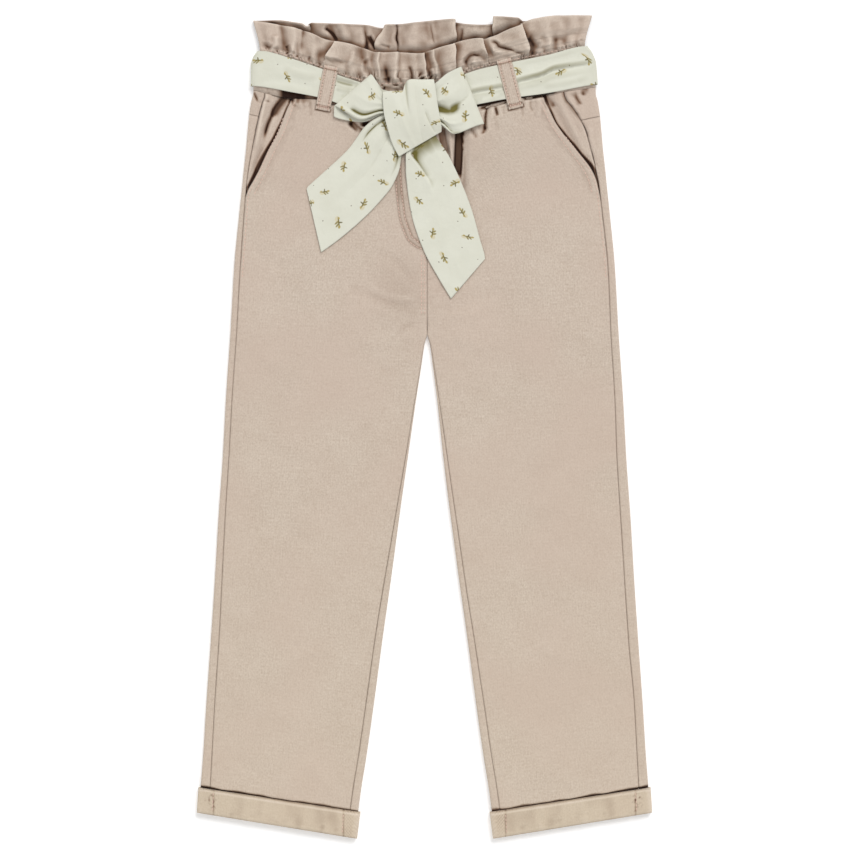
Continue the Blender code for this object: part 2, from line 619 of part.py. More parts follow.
def pocket_facing(name, side):
    """The cloth behind the slanted pocket mouth, which dips under the front panel.

    Its rows are those of the yoke, then those of the back leg as far as the pocket's lower end.
    """

    def point(u, v):
        share, start, end = (v, below(front_waist_y), yoke_y) if v <= 1.0 else (v - 1.0, yoke_y, crotch_line)
        edge_y = hip_frame(side, share, start, end)[0]
        seam = path_of(outseam[name](edge_y), FOLD) + FACING_GAP
        mouth = path_of(pocket_mouth[name](edge_y), FOLD)
        run = (mouth + POCKET_UNDERLAP - seam) * u
        x, y, z = hip_point(side, share, start, end, lambda _width, _turn, _y: seam + run)
        return x, y, z - (WALL + GAP) * smooth(run / max(FACING_DIP, 0.8 * (mouth - seam)))

    across = [0.0, 0.06, 0.12, 0.2, 0.4, 0.7, 1.0]
    seam_y = yoke_y(side * WAIST_HALF)
    yoke_rows = shares_at(YOKE_LEVELS, front_waist_y(side * WAIST_HALF), seam_y)
    leg_rows = shares_at(SIDE_LEVELS, seam_y, CROTCH_Y)
    down = yoke_rows + [1.0 + share for share in leg_rows[1:-1]]
    sheet("pocket_facing_" + name, across, down, point, WALL, TWILL, flip=side < 0)


def cuff(name, side):
    """The turned-up hem: a ring outside the leg's end, which follows the leg's own section."""
    length = HEM_OUTER_Y - CROTCH_Y
    first, last = 1 + CUFF_DEPTH / length, 1 - CUFF_PAST_HEM / length

    def point(u, v):
        def path_at(width, turn, _y):
            half = half_round(width, FOLD + CUFF_RISE, turn)
            fold = (FOLD + CUFF_RISE) * QUARTER
            path = between((fold, half - fold, half + fold, 2 * half - fold, 2 * half + fold), u) % (2 * half)
            return path if path <= half else path - 2 * half

        return leg_point(side, lerp(first, last, v), path_at, CUFF_RISE)

    around = stretches(8, 5, 8, 5)
    sheet("cuff_" + name, around, shares(2), point, CUFF_WALL, TWILL, flip=side < 0, ring=True)


# ---- Waistband and frill ----
def pleat_rise(pleats, x, share):
    """Height that the pleats add at x, at a share of the way up the frill."""
    fade = lerp(0.35, 1.0, smooth(share / 0.45))
    total = 0.0
    for pleat in pleats:
        away = x - lerp(pleat.base, pleat.top, share)
        reach = abs(away) / (pleat.left if away < 0 else pleat.right)
        if reach < 1:
            total += pleat.rise * fade * (1 - reach) ** 1.4
    return total


def pucker_rise(x, share):
    """The small gathers that the elastic pulls into the base of the frill."""
    fade = 1 - smooth(share / 0.5)
    return PUCKER_RISE * fade * sin(2 * pi * x / PUCKER_STEP + 1.7 * sin(x / 17.0))


def free_of_loops(x, y):
    """0 where a front belt loop holds the frill down, 1 clear of it."""
    free = 1.0
    for place in FRONT_LOOPS:
        ends = (place.bottom_x, place.bottom_y, place.top_x, place.top_y)
        share, distance = near_segment(x, y, *ends)
        run = hypot(ends[2] - ends[0], ends[3] - ends[1])
        past = max((share - 1) * run, 0.0)
        free = min(free, smooth((max(distance - LOOP_WIDTH / 2, past) - 1.0) / 6.0))
    return free


def clear_of_corners(x, left, right):
    return smooth((x - left) / 8.0) * smooth((right - x) / 8.0)


def waistband_point(station, along, over):
    """A point of one waistband half: casing from 0 to 1, frill from 1 to 2. Its edges lie on the side folds."""
    left, right = waistband_left(station), waistband_right(station)
    width = right - left
    half = width + (2 * QUARTER - 2) * WAIST_FOLD  # over the top from fold to fold
    rim, rounding = GAP / 2 + RIM, WAIST_FOLD * QUARTER
    path = between((GAP / 2, rim, rounding, half - rounding, half - rim, half - GAP / 2), along)
    across, height = section(width, WAIST_FOLD, QUARTER, path)
    x = left + across
    casing_y, seam_y, free_y = (
        (front_casing_y, front_waist_y, front_frill_y) if over else (back_casing_y, back_waist_y, back_frill_y)
    )
    if station <= 1:
        y = lerp(seam_y(x) + GAP / 2, casing_y(x), station)
    else:
        y = lerp(casing_y(x), free_y(x), station - 1)
    share = max(station - 1, 0.0)
    frilled = smooth(share / 0.25) * clear_of_corners(x, left, right)
    if over:
        frilled *= free_of_loops(x, y)
        high = lerp(body_top(y), FRILL_BASE, smooth(share / 0.3)) + loop_lift(x, y) * smooth(share / 0.2)
        outer = high + frilled * pleat_rise(FRONT_PLEATS, x, share)
        outer += pucker_rise(x, share) * smooth(share / 0.1) * clear_of_corners(x, left, right)
    else:
        shown = smooth((y - front_frill_y(x)) / 7.0)
        relief = pleat_rise(BACK_PLEATS, x, share) * shown + BACK_FRILL_RISE
        outer = underside(x, y) + frilled * max(relief, 0.0)
    middle = lerp(*WAISTBAND_MIDDLE, smooth(share))
    return x, y, lerp(middle, outer, height)


WAISTBAND_STATIONS = [0.0, 0.5, 1.0, 1.13, 1.32, 1.62, 2.0]  # close together where the frill leaves the casing


def waistband(over):
    def point(u, v):
        return waistband_point(v, u, over)

    across = stretches(1, 3, 84 if over else 62, 3, 1)
    name = "waistband_front" if over else "waistband_back"
    sheet(name, across, WAISTBAND_STATIONS, point, WALL, TWILL, flip=not over)


# ---- Sash round the waist ----
SASH_RADIUS = WAIST_FOLD + SASH_RISE


def sash_edge(share, side):
    """x of the sash's folded side at a share of the way down from its top edge."""
    return sash_left(1 - share) if side < 0 else sash_right(1 - share)


def front_sash_point(name, side, along, share):
    edge_x = sash_edge(share, side)
    reach = abs(SASH_MEETS[name] - edge_x)
    rounding = SASH_RADIUS * QUARTER
    path = between((GAP / 2, GAP / 2 + RIM, rounding, reach - SASH_RADIUS + rounding), along)
    across, height = section(reach * 4, SASH_RADIUS, QUARTER, path)
    x = edge_x - side * across
    y = lerp(sash_top_y(x), sash_bottom_y(x), share)
    return x, y, lerp(0.0, body_top(y) + SASH_RISE, (height + 1) / 2)


def back_sash_point(along, share):
    left, right = sash_left(1 - share), sash_right(1 - share)
    width = right - left
    half = width + (QUARTER * 2 - 2) * SASH_RADIUS
    rounding = SASH_RADIUS * QUARTER
    rim = GAP / 2 + RIM
    path = between((GAP / 2, rim, rounding, half - rounding, half - rim, half - GAP / 2), along)
    across, height = section(width, SASH_RADIUS, QUARTER, path)
    x = left + across
    side_top, side_bottom = sash_top_y(x), sash_bottom_y(x)
    level = smooth((abs(x) - 118.0) / 16.0)
    y = lerp(lerp(back_casing_y(x), side_top, level), lerp(back_waist_y(x), side_bottom, level), share)
    middle = (body_top(y) + SASH_RISE) / 2
    return x, y, lerp(middle, loop_lift(x, y), height)


def front_sash(name, side):
    def point(u, v):
        return front_sash_point(name, side, u, v)

    sheet("sash_front_" + name, stretches(1, 3, 12), shares(4), point, SASH_WALL, SASH, flip=side < 0)


def back_sash():
    sheet("sash_back", stretches(1, 3, 34, 3, 1), shares(3), back_sash_point, SASH_WALL, SASH)


# ---- Ribbons: bow loops, knot and tails ----
def on_body(x, y):
    """Height of a sash end that lies on the front panels."""
    return body_top(y) + max(crease_rise(x, y), 0.0) + SASH_RISE


def ribbon(name, rows, across, along, flip, height_at=None):
    """A strip of sash through its sections: u from edge a to edge b, v from the first section to the last."""
    fields = [curve(list(enumerate(getattr(row, field) for row in rows))) for field in Section._fields]

    def point(u, v):
        ax, ay, bx, by, z, crown = (field(v) for field in fields)
        x, y = lerp(ax, bx, u), lerp(ay, by, u)
        height = z + crown * 4 * u * (1 - u)
        return x, y, height + (height_at(x, y) if height_at else 0.0)

    sheet(name, shares(across), along, point, SASH_WALL, SASH, flip=flip)


def bow():
    for name, side in SIDES.items():
        ribbon("bow_loop_" + name, BOW_LOOPS[name], 5, stretches(1, 2, 2, 2, 2, 2, 2, 1), flip=side < 0)
        ribbon("sash_tail_" + name, TAILS[name], 6, stretches(1, 1, 2, 2, 2, 2, 2), True, height_at=on_body)
    ribbon("bow_knot", KNOT, 8, stretches(2, 2, 2, 2, 1, 1), flip=True)


# ---- Belt loops ----
def loop_point(place, u, v, height):
    """A point of a strip from its top end to its bottom end, with u across it."""
    run = hypot(place.bottom_x - place.top_x, place.bottom_y - place.top_y)
    along_x, along_y = (place.bottom_x - place.top_x) / run, (place.bottom_y - place.top_y) / run
    off = (u - 0.5) * LOOP_WIDTH
    x = lerp(place.top_x, place.bottom_x, v) - along_y * off
    y = lerp(place.top_y, place.bottom_y, v) + along_x * off
    return x, y, height


def belt_loop(place, down, height_at):
    def point(u, v):
        return loop_point(place, u, v, height_at(v))

    sheet(place.name, shares(2), down, point, LOOP_WALL, TWILL, flip=True)


# ---- The garment ----
for leftover in list(bpy.data.objects):
    bpy.data.objects.remove(leftover)

garment = bpy.data.collections.new("Paperbag waist trousers")
bpy.context.scene.collection.children.link(garment)

for side_name, side_sign in SIDES.items():
    front_panel(side_name, side_sign)
    back_panel(side_name, side_sign)
    back_yoke(side_name, side_sign)
    pocket_facing(side_name, side_sign)
    cuff(side_name, side_sign)
    front_sash(side_name, side_sign)
waistband(over=True)
waistband(over=False)
back_sash()
bow()
for loop_place in FRONT_LOOPS:
    belt_loop(loop_place, [at for at, _ in LOOP_ARCH], loop_arch)
for loop_place in BACK_LOOPS:
    belt_loop(loop_place, shares(2), lambda _v: LOOP_WALL)  # flat on the floor
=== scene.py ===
"""Paperbag waist trousers of washed twill, laid flat and tied with a printed sash.

An add-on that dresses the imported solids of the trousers: each operator makes one group of pieces, and the
panel in the sidebar lists them in order. Tables are in millimetres: X to the wearer's left, Y towards the
waist, Z up.
"""

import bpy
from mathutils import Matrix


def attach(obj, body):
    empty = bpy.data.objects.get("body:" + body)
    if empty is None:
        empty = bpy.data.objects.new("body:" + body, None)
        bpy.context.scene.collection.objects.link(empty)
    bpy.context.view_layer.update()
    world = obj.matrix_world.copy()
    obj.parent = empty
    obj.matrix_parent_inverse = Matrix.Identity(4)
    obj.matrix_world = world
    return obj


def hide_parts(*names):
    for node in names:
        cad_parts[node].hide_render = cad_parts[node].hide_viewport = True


bl_info = {
    "name": "Paperbag waist trousers",
    "version": (1, 0, 0),
    "blender": (4, 5, 0),
    "location": "View3D > Sidebar > Trousers",
    "description": "Makes laid-flat paperbag waist trousers with a printed sash tied in a bow",
    "category": "Object",
}

from bisect import bisect_right
from collections import namedtuple
from math import acos, atan2, cos, exp, floor, hypot, inf, pi, radians, sin

import bmesh
import bpy
import numpy as np
from bpy.props import FloatProperty, FloatVectorProperty, PointerProperty
from mathutils import Vector, noise
from mathutils.bvhtree import BVHTree

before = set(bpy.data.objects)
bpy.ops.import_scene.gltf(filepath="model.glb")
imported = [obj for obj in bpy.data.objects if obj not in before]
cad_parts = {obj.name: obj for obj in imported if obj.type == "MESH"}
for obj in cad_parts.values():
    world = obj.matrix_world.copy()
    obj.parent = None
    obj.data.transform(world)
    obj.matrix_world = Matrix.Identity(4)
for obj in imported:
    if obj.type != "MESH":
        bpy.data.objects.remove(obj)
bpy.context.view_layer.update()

MM = 0.001
MM_IN_METRE = 1000.0
QUARTER = pi / 2
SIDES = {"R": -1, "L": 1}  # the wearer's right is at negative X


def table(kind, *rows):
    """A table whose rows are all named tuples of one kind."""
    return tuple(kind(*row) for row in rows)


# ---- Sizes of the laid body, the same as its solids ----
SASH_RISE = 1.3  # how far the sash stands out from what it lies on
LOOP_RISE = 1.3
CUFF_RISE = 1.8
LAID = 5.6  # height of the laid body
FOLD = LAID / 2  # radius of its side folds
SQUARENESS = 1.5  # of those folds: 1 is round
WAIST_HALF = 136.7
WAIST_FOLD = 2.5
SASH_FOLD = WAIST_FOLD + SASH_RISE
CROTCH_Y = 74.4
HEM_OUTER_Y = -307.0
HEM_INNER_Y = -327.8
CUFF_DEPTH = 19.2
CUFF_PAST_HEM = 1.0
POCKET_TOP_Y = 184.0  # the pocket mouth ends here, and the side seam goes on
FACING_END_Y = 180.0
POCKET_UNDERLAP = 8.0
FACING_SINK = 2.3  # how far the pocket facing dips under the mouth's edge
CROTCH_TURN = 16.0
LOOP_WIDTH = 12.0
SASH_LIFT_FROM = 246.0  # the back rises over the sash from here up, along this run
SASH_LIFT_RUN = 14.0
CUFF_LIFT_RUN = 24.0
WAISTBAND_MIDDLE = (3.8, 3.0)  # height between its front and back, at the casing and at the free edge
KNOT_MIDDLE = (-12.0, 246.0)
KNOT_REACH = 22.0
SEAM = 0.05  # half the gap of a seam between two panels
LOWEST_TOP = 1.9  # the front never sinks through the back

BodyRow = namedtuple("BodyRow", "y outer leg_gap outseam_R outseam_L inseam_R inseam_L", defaults=(0.0, 0.0))
BODY = table(
    BodyRow,
    (-330, 181.4, 56.2, 8, 8, 6.6, 6.6),
    (-288, 178.9, 50.8, 7.8, 7.8, 6.6, 6.6),
    (-266, 177.2, 47.2, 7.2, 7.2, 6.5, 6.5),
    (-218, 174.2, 40.4, 6.8, 6.8, 6.4, 6.4),
    (-170, 170.8, 34, 6.6, 7.8, 6.2, 5.6),
    (-122, 167.6, 27.2, 5.8, 7.8, 5.4, 4.8),
    (-74, 164.8, 20.8, 5.4, 8, 3.6, 4.3),
    (-26, 161.4, 14.4, 5, 7.6, 2, 3.4),
    (22, 158.8, 8.4, 5, 6.7, 0.9, 1.6),
    (46, 157.2, 5, 5, 6.5, 0.5, 0.9),
    (67, 155.7, 2, 5, 6.4, 0.1, 0.2),
    (CROTCH_Y, 155.2, SEAM, 5, 6.3),
    (130, 152, SEAM, 5, 5.6),
    (172, 147.9, SEAM, 3.9, 6),
    (190, 146, SEAM, 3.5, 6.2),
    (205, 144.5, SEAM, 3.8, 7.4),
    (221, 142.7, SEAM, 4.8, 9.4),
    (237, 141.3, SEAM, 6.4, 12.2),
    (250, 140, SEAM, 7.8, 16.4),
    (260, 138.4, SEAM, 8.6, 21),
    (266, 136.9, SEAM, 9, 24),
    (272, WAIST_HALF, SEAM, 9.2, 25.4),
)
MouthRow = namedtuple("MouthRow", "y mouth_R mouth_L")
POCKET_MOUTHS = table(
    MouthRow,
    (POCKET_TOP_Y, 3.7, 6.3),
    (189, 4.8, 6.6),
    (196, 8, 7.5),
    (205.6, 11.8, 10.6),
    (221.6, 16.8, 20),
    (237.6, 23.2, 30.4),
    (249.6, 26.4, 36.4),
    (272, 30.4, 42),
)
CENTRE_LINE = ((-330, 0.4), (-74, 0.4), (CROTCH_Y, 2.2), (330, 1.8))  # (y, x)
FRONT_WAIST_SEAM = (
    (-138, 269.2), (-104, 262.2), (-87, 261.6), (-72, 257.6), (-35.6, 250), (-3.6, 246.4),
    (44.4, 256), (70.8, 261.6), (138, 271.6),
)
BACK_WAIST_SEAM = ((-138, 269.2), (0, 269.6), (138, 271.6))
YOKE_SEAM = ((-140, 249.6), (-60, 232), (2, 214), (62, 231), (140, 248))
FRONT_CASING_TOP = (
    (-138, 301.4), (-107.6, 295), (-82, 286.2), (-60, 278.4), (-31.6, 272.8),
    (4.4, 274.6), (42.8, 285.6), (68.4, 291.2), (98.8, 297.6), (138, 305.6),
)
BACK_CASING_TOP = ((-138, 301.4), (0, 298), (138, 305.6))
FRONT_FRILL_TOP = (
    (-137.2, 324.8), (-113.2, 320.8), (-96.4, 316.8), (-75.6, 308.8), (-63.6, 307.2), (-50, 303.2),
    (-37.2, 299.4), (-23.6, 299.4), (-3.6, 298.4), (4.4, 300.8), (19.6, 305.6), (41.2, 310.4),
    (45.6, 309.8), (70, 319.2), (88.4, 326.4), (108.4, 328.8), (134, 328.8),
)
BACK_FRILL_TOP = (
    (-137.2, 324.8), (-117, 325.2), (-99.6, 322.6), (-95.6, 320.4), (-90, 323.2), (-63.6, 322.2),
    (-47.6, 321.6), (-32.4, 318.8), (-29, 321.6), (-15.6, 322.4), (4.4, 324.8), (20.4, 326),
    (24, 323.6), (44.4, 321.6), (54.4, 322.2), (58.8, 328), (74.8, 327.4), (79, 324.6), (134, 328.8),
)
CasingSide = namedtuple("CasingSide", "share left right")
WAISTBAND_SIDES = table(
    CasingSide,
    (0, -WAIST_HALF, WAIST_HALF),
    (0.55, -136.5, 134.8),
    (1, -131.6, 128.2),
    (2, -137, 134),
)
SASH_SIDES = table(
    CasingSide,
    (0, -138.2, 138),
    (0.6, -138.2, 136.4),
    (0.85, -136.6, 133.4),
    (1, -133.4, 129.8),
)
BODY_TOP = (
    (-330, 6.8), (-290, 6.7), (-255, 5.8), (-210, LAID), (170, LAID), (225, 5.9), (258, 6.3),
    (330, 6.3),
)  # (y, height)

# ---- Creases of the front: a soft trough or ridge along a line that bows sideways by `bow`
# (`flat` is the share of its width that keeps the full height) ----
Crease = namedtuple("Crease", "x1 y1 x2 y2 bow width rise flat", defaults=(0,))
LARGE_CREASES = table(
    Crease,
    (30.5, 246, 31.5, 186, 0, 6, -1.9),  # deep fold beside the knot
    (20, 246, 22, 196, 0, 9, 0.8),
    (42, 248, 40, 214, 0, 8, 0.7),
    (-66, 258, -36, 232, 0, 7, -0.9),
    (-52, 250, -28, 222, 0, 9, 0.6),
    (56, 262, 58, 236, 0, 5, -0.7),
    (-100, 262, -98, 232, 0, 7, 0.5),
    (-8, 92, -62, 112, 0, 9, -0.5),
    (12, 92, 60, 110, 0, 9, -0.5),
    (-6, 74, -48, 66, 0, 10, 0.5),
    (14, 74, 52, 64, 0, 10, 0.5),
    (-96, 170, -118, -250, 0, 34, 0.6),
    (-62, 60, -92, -230, 0, 24, -0.4),
    (98, 168, 116, -240, 0, 32, 0.6),
    (66, 50, 90, -230, 0, 24, -0.4),
    (-150, -60, -86, -96, 0, 15, -0.4),
    (146, -40, 88, -84, 0, 15, -0.4),
    (-160, -210, -96, -236, 0, 14, 0.4),
    (158, -196, 92, -228, 0, 14, 0.4),
)
SMALL_CREASES = table(
    Crease,
    (50.4, 256, 49.2, 237, 1.2, 2.6, -2.6),  # gathers under the waist seam
    (54, 256, 53.6, 246, -0.6, 2, 1),
    (56.6, 256, 58.6, 249, 0, 2, -2),
    (63, 257, 63.6, 250, 0, 2, -0.7),
    (85, 263, 86.4, 252, 1, 2.4, -1),
    (90, 263.5, 90.8, 248, -1, 3, 0.8),
    (94.6, 264, 98, 254, 0.8, 2.4, -1.3),
    (78.4, 261, 79, 248, 0.6, 2.4, -0.7),
    (-60.6, 256, -58, 240, 1, 2.6, -0.8),
    (-106, 263, -103, 256, 0.6, 2.4, -1),
    (-99, 262, -97.6, 254, 0.6, 2.2, 0.8),
    (-92, 260, -91, 248, -0.8, 3, -0.6),
    (-60, 244.6, -47, 235, 1, 4.4, -2.6, 0.3),  # under the bow
    (-54, 238, -45, 230, 1, 2.6, 0.8),
    (-50, 244, -42, 240, 0, 4, -4, 0.5),
    (44, 243, 46.8, 234, -1.4, 4, -2.2),
    (36, 240, 42, 231, 0, 3, -1.8),
    (-112, 264.4, -104, 261.4, 1, 3, -2.4, 0.2),  # the waist seam sinks away from the sash
    (-104, 258, -92, 258.6, 1, 2.4, 0.7),
    (-77, 258.6, -72, 257.4, 0, 1.8, -2, 0.3),
    (44, 254.4, 66, 260, 0, 2, -3.4, 0.4),
    (79, 262.4, 98, 265.8, 0, 2.4, -3.4, 0.4),
    (28, 240, 26, 200, 0, 4.2, -4.8, 0.6),
    (20.6, 240, 22, 206, 0, 2.4, 1.2),
    (13, 240, 17, 217, 0, 4.4, -3, 0.5),
    (-12, 118, -40, 138, 5, 6, -0.4),  # whiskers above the crotch
    (-6, 104, -44, 112, -4, 5, 0.35),
    (8, 106, 40, 122, -4, 6, -0.4),
    (10, 92, 50, 94, 4, 5, 0.35),
    (-8, 84, -30, 60, 3, 5, -0.35),
    (10, 82, 30, 56, -3, 5, -0.35),
    (-140, 150, -110, 128, 5, 8, -0.35),
    (140, 156, 108, 130, -5, 8, -0.35),
    (-132, 60, -96, 44, 4, 9, 0.3),
    (136, 40, 100, 20, -4, 9, 0.3),
    (-134, -8, -84, -30, 6, 10, -0.35),
    (130, -12, 80, -40, -6, 10, -0.35),
    (-70, -52, -112, -58, 4, 9, 0.3),
    (74, -64, 120, -70, -4, 9, 0.3),
    (-140, -138, -100, -150, -4, 9, -0.3),
    (144, -128, 104, -146, 4, 9, -0.3),
    (-84, -180, -120, -196, 3, 9, 0.3),
    (86, -176, 124, -190, -3, 9, 0.3),
    (-150, -262, -120, -282, 3, 7, -0.35),
    (-96, -268, -74, -292, -3, 7, 0.35),
    (152, -258, 124, -280, -3, 7, -0.35),
    (96, -270, 76, -294, 3, 7, 0.35),
)
FACING_CREASES = table(
    Crease,
    (-127, 266, -134, 222, 1, 5.6, 2),  # the pocket cloth puffs out beside the mouth
    (-106, 268, -128.4, 231, 4, 3.6, -2.6),
    (-104, 270, -121, 249, 1.5, 6.4, -2.4, 0.1),
    (-129, 224, -137, 204, 0.6, 2.6, -1),
    (-131, 262.4, -124, 260, 0, 1.6, -1.6),
    (106, 262, 130, 214, -1, 5, 1.2),
    (94, 266, 104, 256, 0, 4, -2),
)
BACK_SIDE_CREASES = table(
    Crease,
    (-136, 268, -130.6, 258, 1, 2.4, -1.6),
    (-132, 263, -129.6, 254, 1, 2.2, 1),
    (-131, 244, -134.6, 236, 0, 2.4, -1.2),
    (-134.6, 230, -132, 222, 0, 2.2, -1),
    (130, 273, 126, 265, 0, 5, -1.5),
    (118.6, 268, 124.6, 257, 0, 4.4, -1.3),
    (127, 243, 131, 232, 1, 2.8, -1.2),
    (133, 240, 136, 222, 1, 2.8, 0.9),
    (132, 221, 138, 208, 0, 2.6, -1),
)
CUFF_CREASES = table(
    Crease,
    (-154, -308, -156, -324, 0.6, 3.6, -0.4),
    (-139, -312, -141, -326, 0.6, 3.6, 0.4),
    (-118, -314, -121, -330, -0.8, 4, -0.4),
    (-96, -318, -99, -330, 0.4, 4.4, 0.4),
    (-81, -318, -83, -332, 0.6, 3.6, -0.5),
    (-70, -320, -71, -332, 0.6, 3, -0.3),
    (78, -318, 80, -330, 0.6, 4, -0.4),
    (92, -316, 95, -330, -0.6, 4, 0.4),
    (108, -312, 110, -328, 0.6, 4, -0.4),
    (126, -310, 129, -324, -0.6, 4.4, 0.4),
    (143, -307, 146, -322, 0.6, 3.8, -0.5),
    (158, -305, 160, -320, 0.6, 3.4, 0.3),
)

# ---- The frill: each pleat has its crest at one place on the free edge and another on the casing, a run
# down to its left and right, and a lean that pushes the crest over its steep side ----
Pleat = namedtuple("Pleat", "top base left right rise lean", defaults=(0.0,))
FRONT_PLEATS = table(
    Pleat,
    (-124, -121, 9, 8, 1.2),
    (-114, -111.6, 2.8, 4, -2.4, 0.8),
    (-105, -105.5, 6, 5, 2, 1),
    (-97.6, -98.2, 2.4, 3.6, -3.4),
    (-88, -91, 6, 6, 1.4, 0.4),
    (-77, -86, 7, 6, -2.6),
    (-69.2, -83, 2.2, 15, 4.4, -3.2),
    (-49, -54, 5, 5, -3.4),
    (-42, -40.6, 3.4, 3, -2),
    (-37.6, -36.4, 3, 2.4, 2.6, 0.8),
    (-32.4, -31, 3.4, 3.6, -2.8),
    (-24, -24.6, 6, 4.6, 3, 1.2),
    (-13.6, -10.6, 5, 5.4, -3.4),
    (-3, 2, 4.6, 2.6, 3.4, 1.8),
    (4.6, 11.4, 3.2, 3, 2.8, 1.4),
    (10.8, 15.4, 3, 3.4, -2),
    (21, 24.4, 11, 1.8, 4.4, 2.6),
    (43.6, 51.2, 13, 1.8, 4.4, 2.8),
    (52, 62, 4, 6, 1, -1.2),
    (76.4, 82.2, 14, 2, 4.2, 2.8),
    (88, 87.4, 4, 5, -1.4),
    (99, 97, 8, 9, 1.8, 0.6),
    (110, 106, 6, 6, -1),
    (120, 118, 7, 7, 1.6),
)
# Hollows and swellings that reach only part of the way up the frill
FRONT_FRILL_CREASES = table(
    Crease,
    (-133, 305.4, -122, 303, 0, 3.4, -3.6, 0.2),
    (-118.8, 312.4, -118, 302.4, 0, 4.4, 2.4),
    (-110.4, 305, -107.6, 298.4, 0, 2.4, -1.6),
    (-104.8, 299.2, -102.8, 293, 0, 1.8, -2.2),
    (-92.8, 296, -90.8, 289, 0, 2, -2),
    (-78.4, 295.6, -65.6, 290, 1, 3.2, -3, 0.2),
    (-56, 300, -60, 288, 0, 3, 1.2),
    (-47, 293, -43.4, 276, 0, 4.2, -2.6, 0.1),
    (-28.8, 279, -29, 268, 0, 1.8, -3),
    (-12, 288, -8.4, 274, 0, 2.6, -1.8),
    (6, 285.2, 12, 278, 0, 2.6, 1.8),
    (9, 281, 16, 277, 0, 1.6, -2.2),
    (32.6, 290, 41, 299, -1.6, 3.6, -3, 0.1),
    (40, 299, 51, 287.6, -1.6, 3.8, -3.2, 0.1),
    (38, 292, 43, 287, 0, 3.4, 2),
    (54, 307.4, 76, 297.4, 0, 2.2, -3.2),
    (55, 301.4, 72, 293.8, 0, 3.6, 1.8),
    (70, 297.8, 74.4, 294.2, 0, 2.2, -2),
    (82.4, 310.4, 90.6, 303.6, 0, 5.4, -1.8),
    (94, 312, 98, 306, 0, 3.6, -1),
    (103, 308, 126, 316, 1, 5.6, -2),
    (124, 309, 130, 307, 0, 1.8, -2),
)
BACK_PLEATS = table(
    Pleat,
    (-118, -112, 9, 8, 2.6),
    (-95.2, -86, 12, 2, 3.6, 2.6),
    (-76, -69, 3, 4, -2.2),
    (-66, -61, 5, 6, 2.6),
    (-47.6, -46.4, 2.6, 3, -2.6),
    (-29.4, -41, 2, 9, 4.6, -2.6),
    (-22.2, -21.6, 1.8, 2, -7),
    (-8, -8, 12, 10, 2.8),
    (21, 25.6, 14, 2, 4, 2.6),
    (40, 42, 9, 9, 1.6),
    (53.4, 50, 3, 3, -2),
    (58.6, 54.6, 2, 16, 4.2, -2.6),
    (96, 94, 9, 9, 1.6),
    (118, 116, 9, 9, 1.6),
)
BACK_FRILL_CREASES = table(
    Crease,
    (-79, 319.6, -70, 309, 0, 3, -2.6),
    (-44, 313, -39, 301, 0, 3, -3, 0.3),
    (-34, 306, -28, 302, 0, 2.6, -1.6),
    (4.4, 322, 8, 306, 0, 2, -0.8),
    (31, 319, 29, 308, 0, 3, -1.4),
)
FRILL_BASE = 6.8
FRILL_LOWEST = 2.6
FRILL_HIGHEST = 12.6
BACK_FRILL_RISE = 0.6

# ---- The sash: each row is a section from edge a to edge b ----
Section = namedtuple("Section", "ax ay bx by z crown", defaults=(0.0,))
SashRow = namedtuple("SashRow", "x top bottom")
FRONT_SASH = table(
    SashRow,
    (-140, 298.4, 272.6),
    (-130, 300.2, 271.6),
    (-107.6, 294.6, 267.6),
    (-82, 286, 262.6),
    (-60, 278, 255.6),
    (-12, 266, 248.4),
    (8, 272, 250),
    (42.8, 285.4, 257.6),
    (68.4, 291, 262.4),
    (98.8, 297.2, 266.6),
    (128.4, 304, 272.2),
    (140, 302.4, 274),
)
SASH_MEETS = {"R": -12, "L": -8}
# A fold runs along the left stretch of the sash: its upper layer steps down over this line.
FoldRow = namedtuple("FoldRow", "x y depth")
SASH_FOLD_LINE = table(
    FoldRow,
    (34, 266, 1.2),
    (41.2, 268, 1.6),
    (62.8, 272.2, 1.3),
    (75.6, 276.4, 1.5),
    (93.2, 281, 2.2),
    (104.4, 286, 1.8),
    (120, 288.4, 1.2),
    (136, 291, 0.6),
)
SASH_CREASES = table(
    Crease,
    (-126, 276, -88, 270, -2, 6, -0.5),
    (-112, 286, -86, 279, 1, 5, 0.5),
    (-72, 277, -55, 272.6, 0.6, 3.8, -2.4),
    (-70, 270, -60, 268, 0, 3, 0.6),
    (-64, 264, -56, 258, 0, 3, -0.8),
    (82, 288, 122, 297, 1, 4, -0.35),
    (96, 272, 130, 279, 1, 4, 0.35),
    (46, 262, 60, 266, 0, 3, -0.4),
)
BOW_LOOPS = {
    "R": table(
        Section,
        (-16, 260, -16, 251.2, 11.8),
        (-32.4, 265.4, -33.6, 250, 12.2, 0.2),
        (-38, 275.2, -50.4, 244.8, 12.9, 1),
        (-41.4, 280.2, -64, 251.6, 12.3, 0.8),
        (-42.8, 281.6, -71.8, 256.4, 10.3, 0.2),
        (-41.4, 279.6, -72.4, 248.2, 8.4),
        (-36.4, 273.4, -50, 243.4, 7.9),
        (-31.2, 266, -32.6, 249.6, 7.9),
        (-16, 260, -16, 251.2, 7.9),
    ),
    "L": table(
        Section,
        (-10, 264.6, -10, 247.2, 11.8),
        (7.4, 273.4, 13, 241, 12.3, 0.4),
        (18, 282, 24, 234, 12.9, 1.2),
        (27, 286.6, 42, 240.4, 12.3, 1),
        (29.4, 287.6, 47.6, 242, 10.3, 0.2),
        (27.6, 285.2, 42.6, 240.6, 8.4),
        (18.8, 280, 22.8, 235, 7.9),
        (7.6, 273, 14, 240, 7.9),
        (-10, 264.6, -10, 247.2, 7.9),
    ),
}
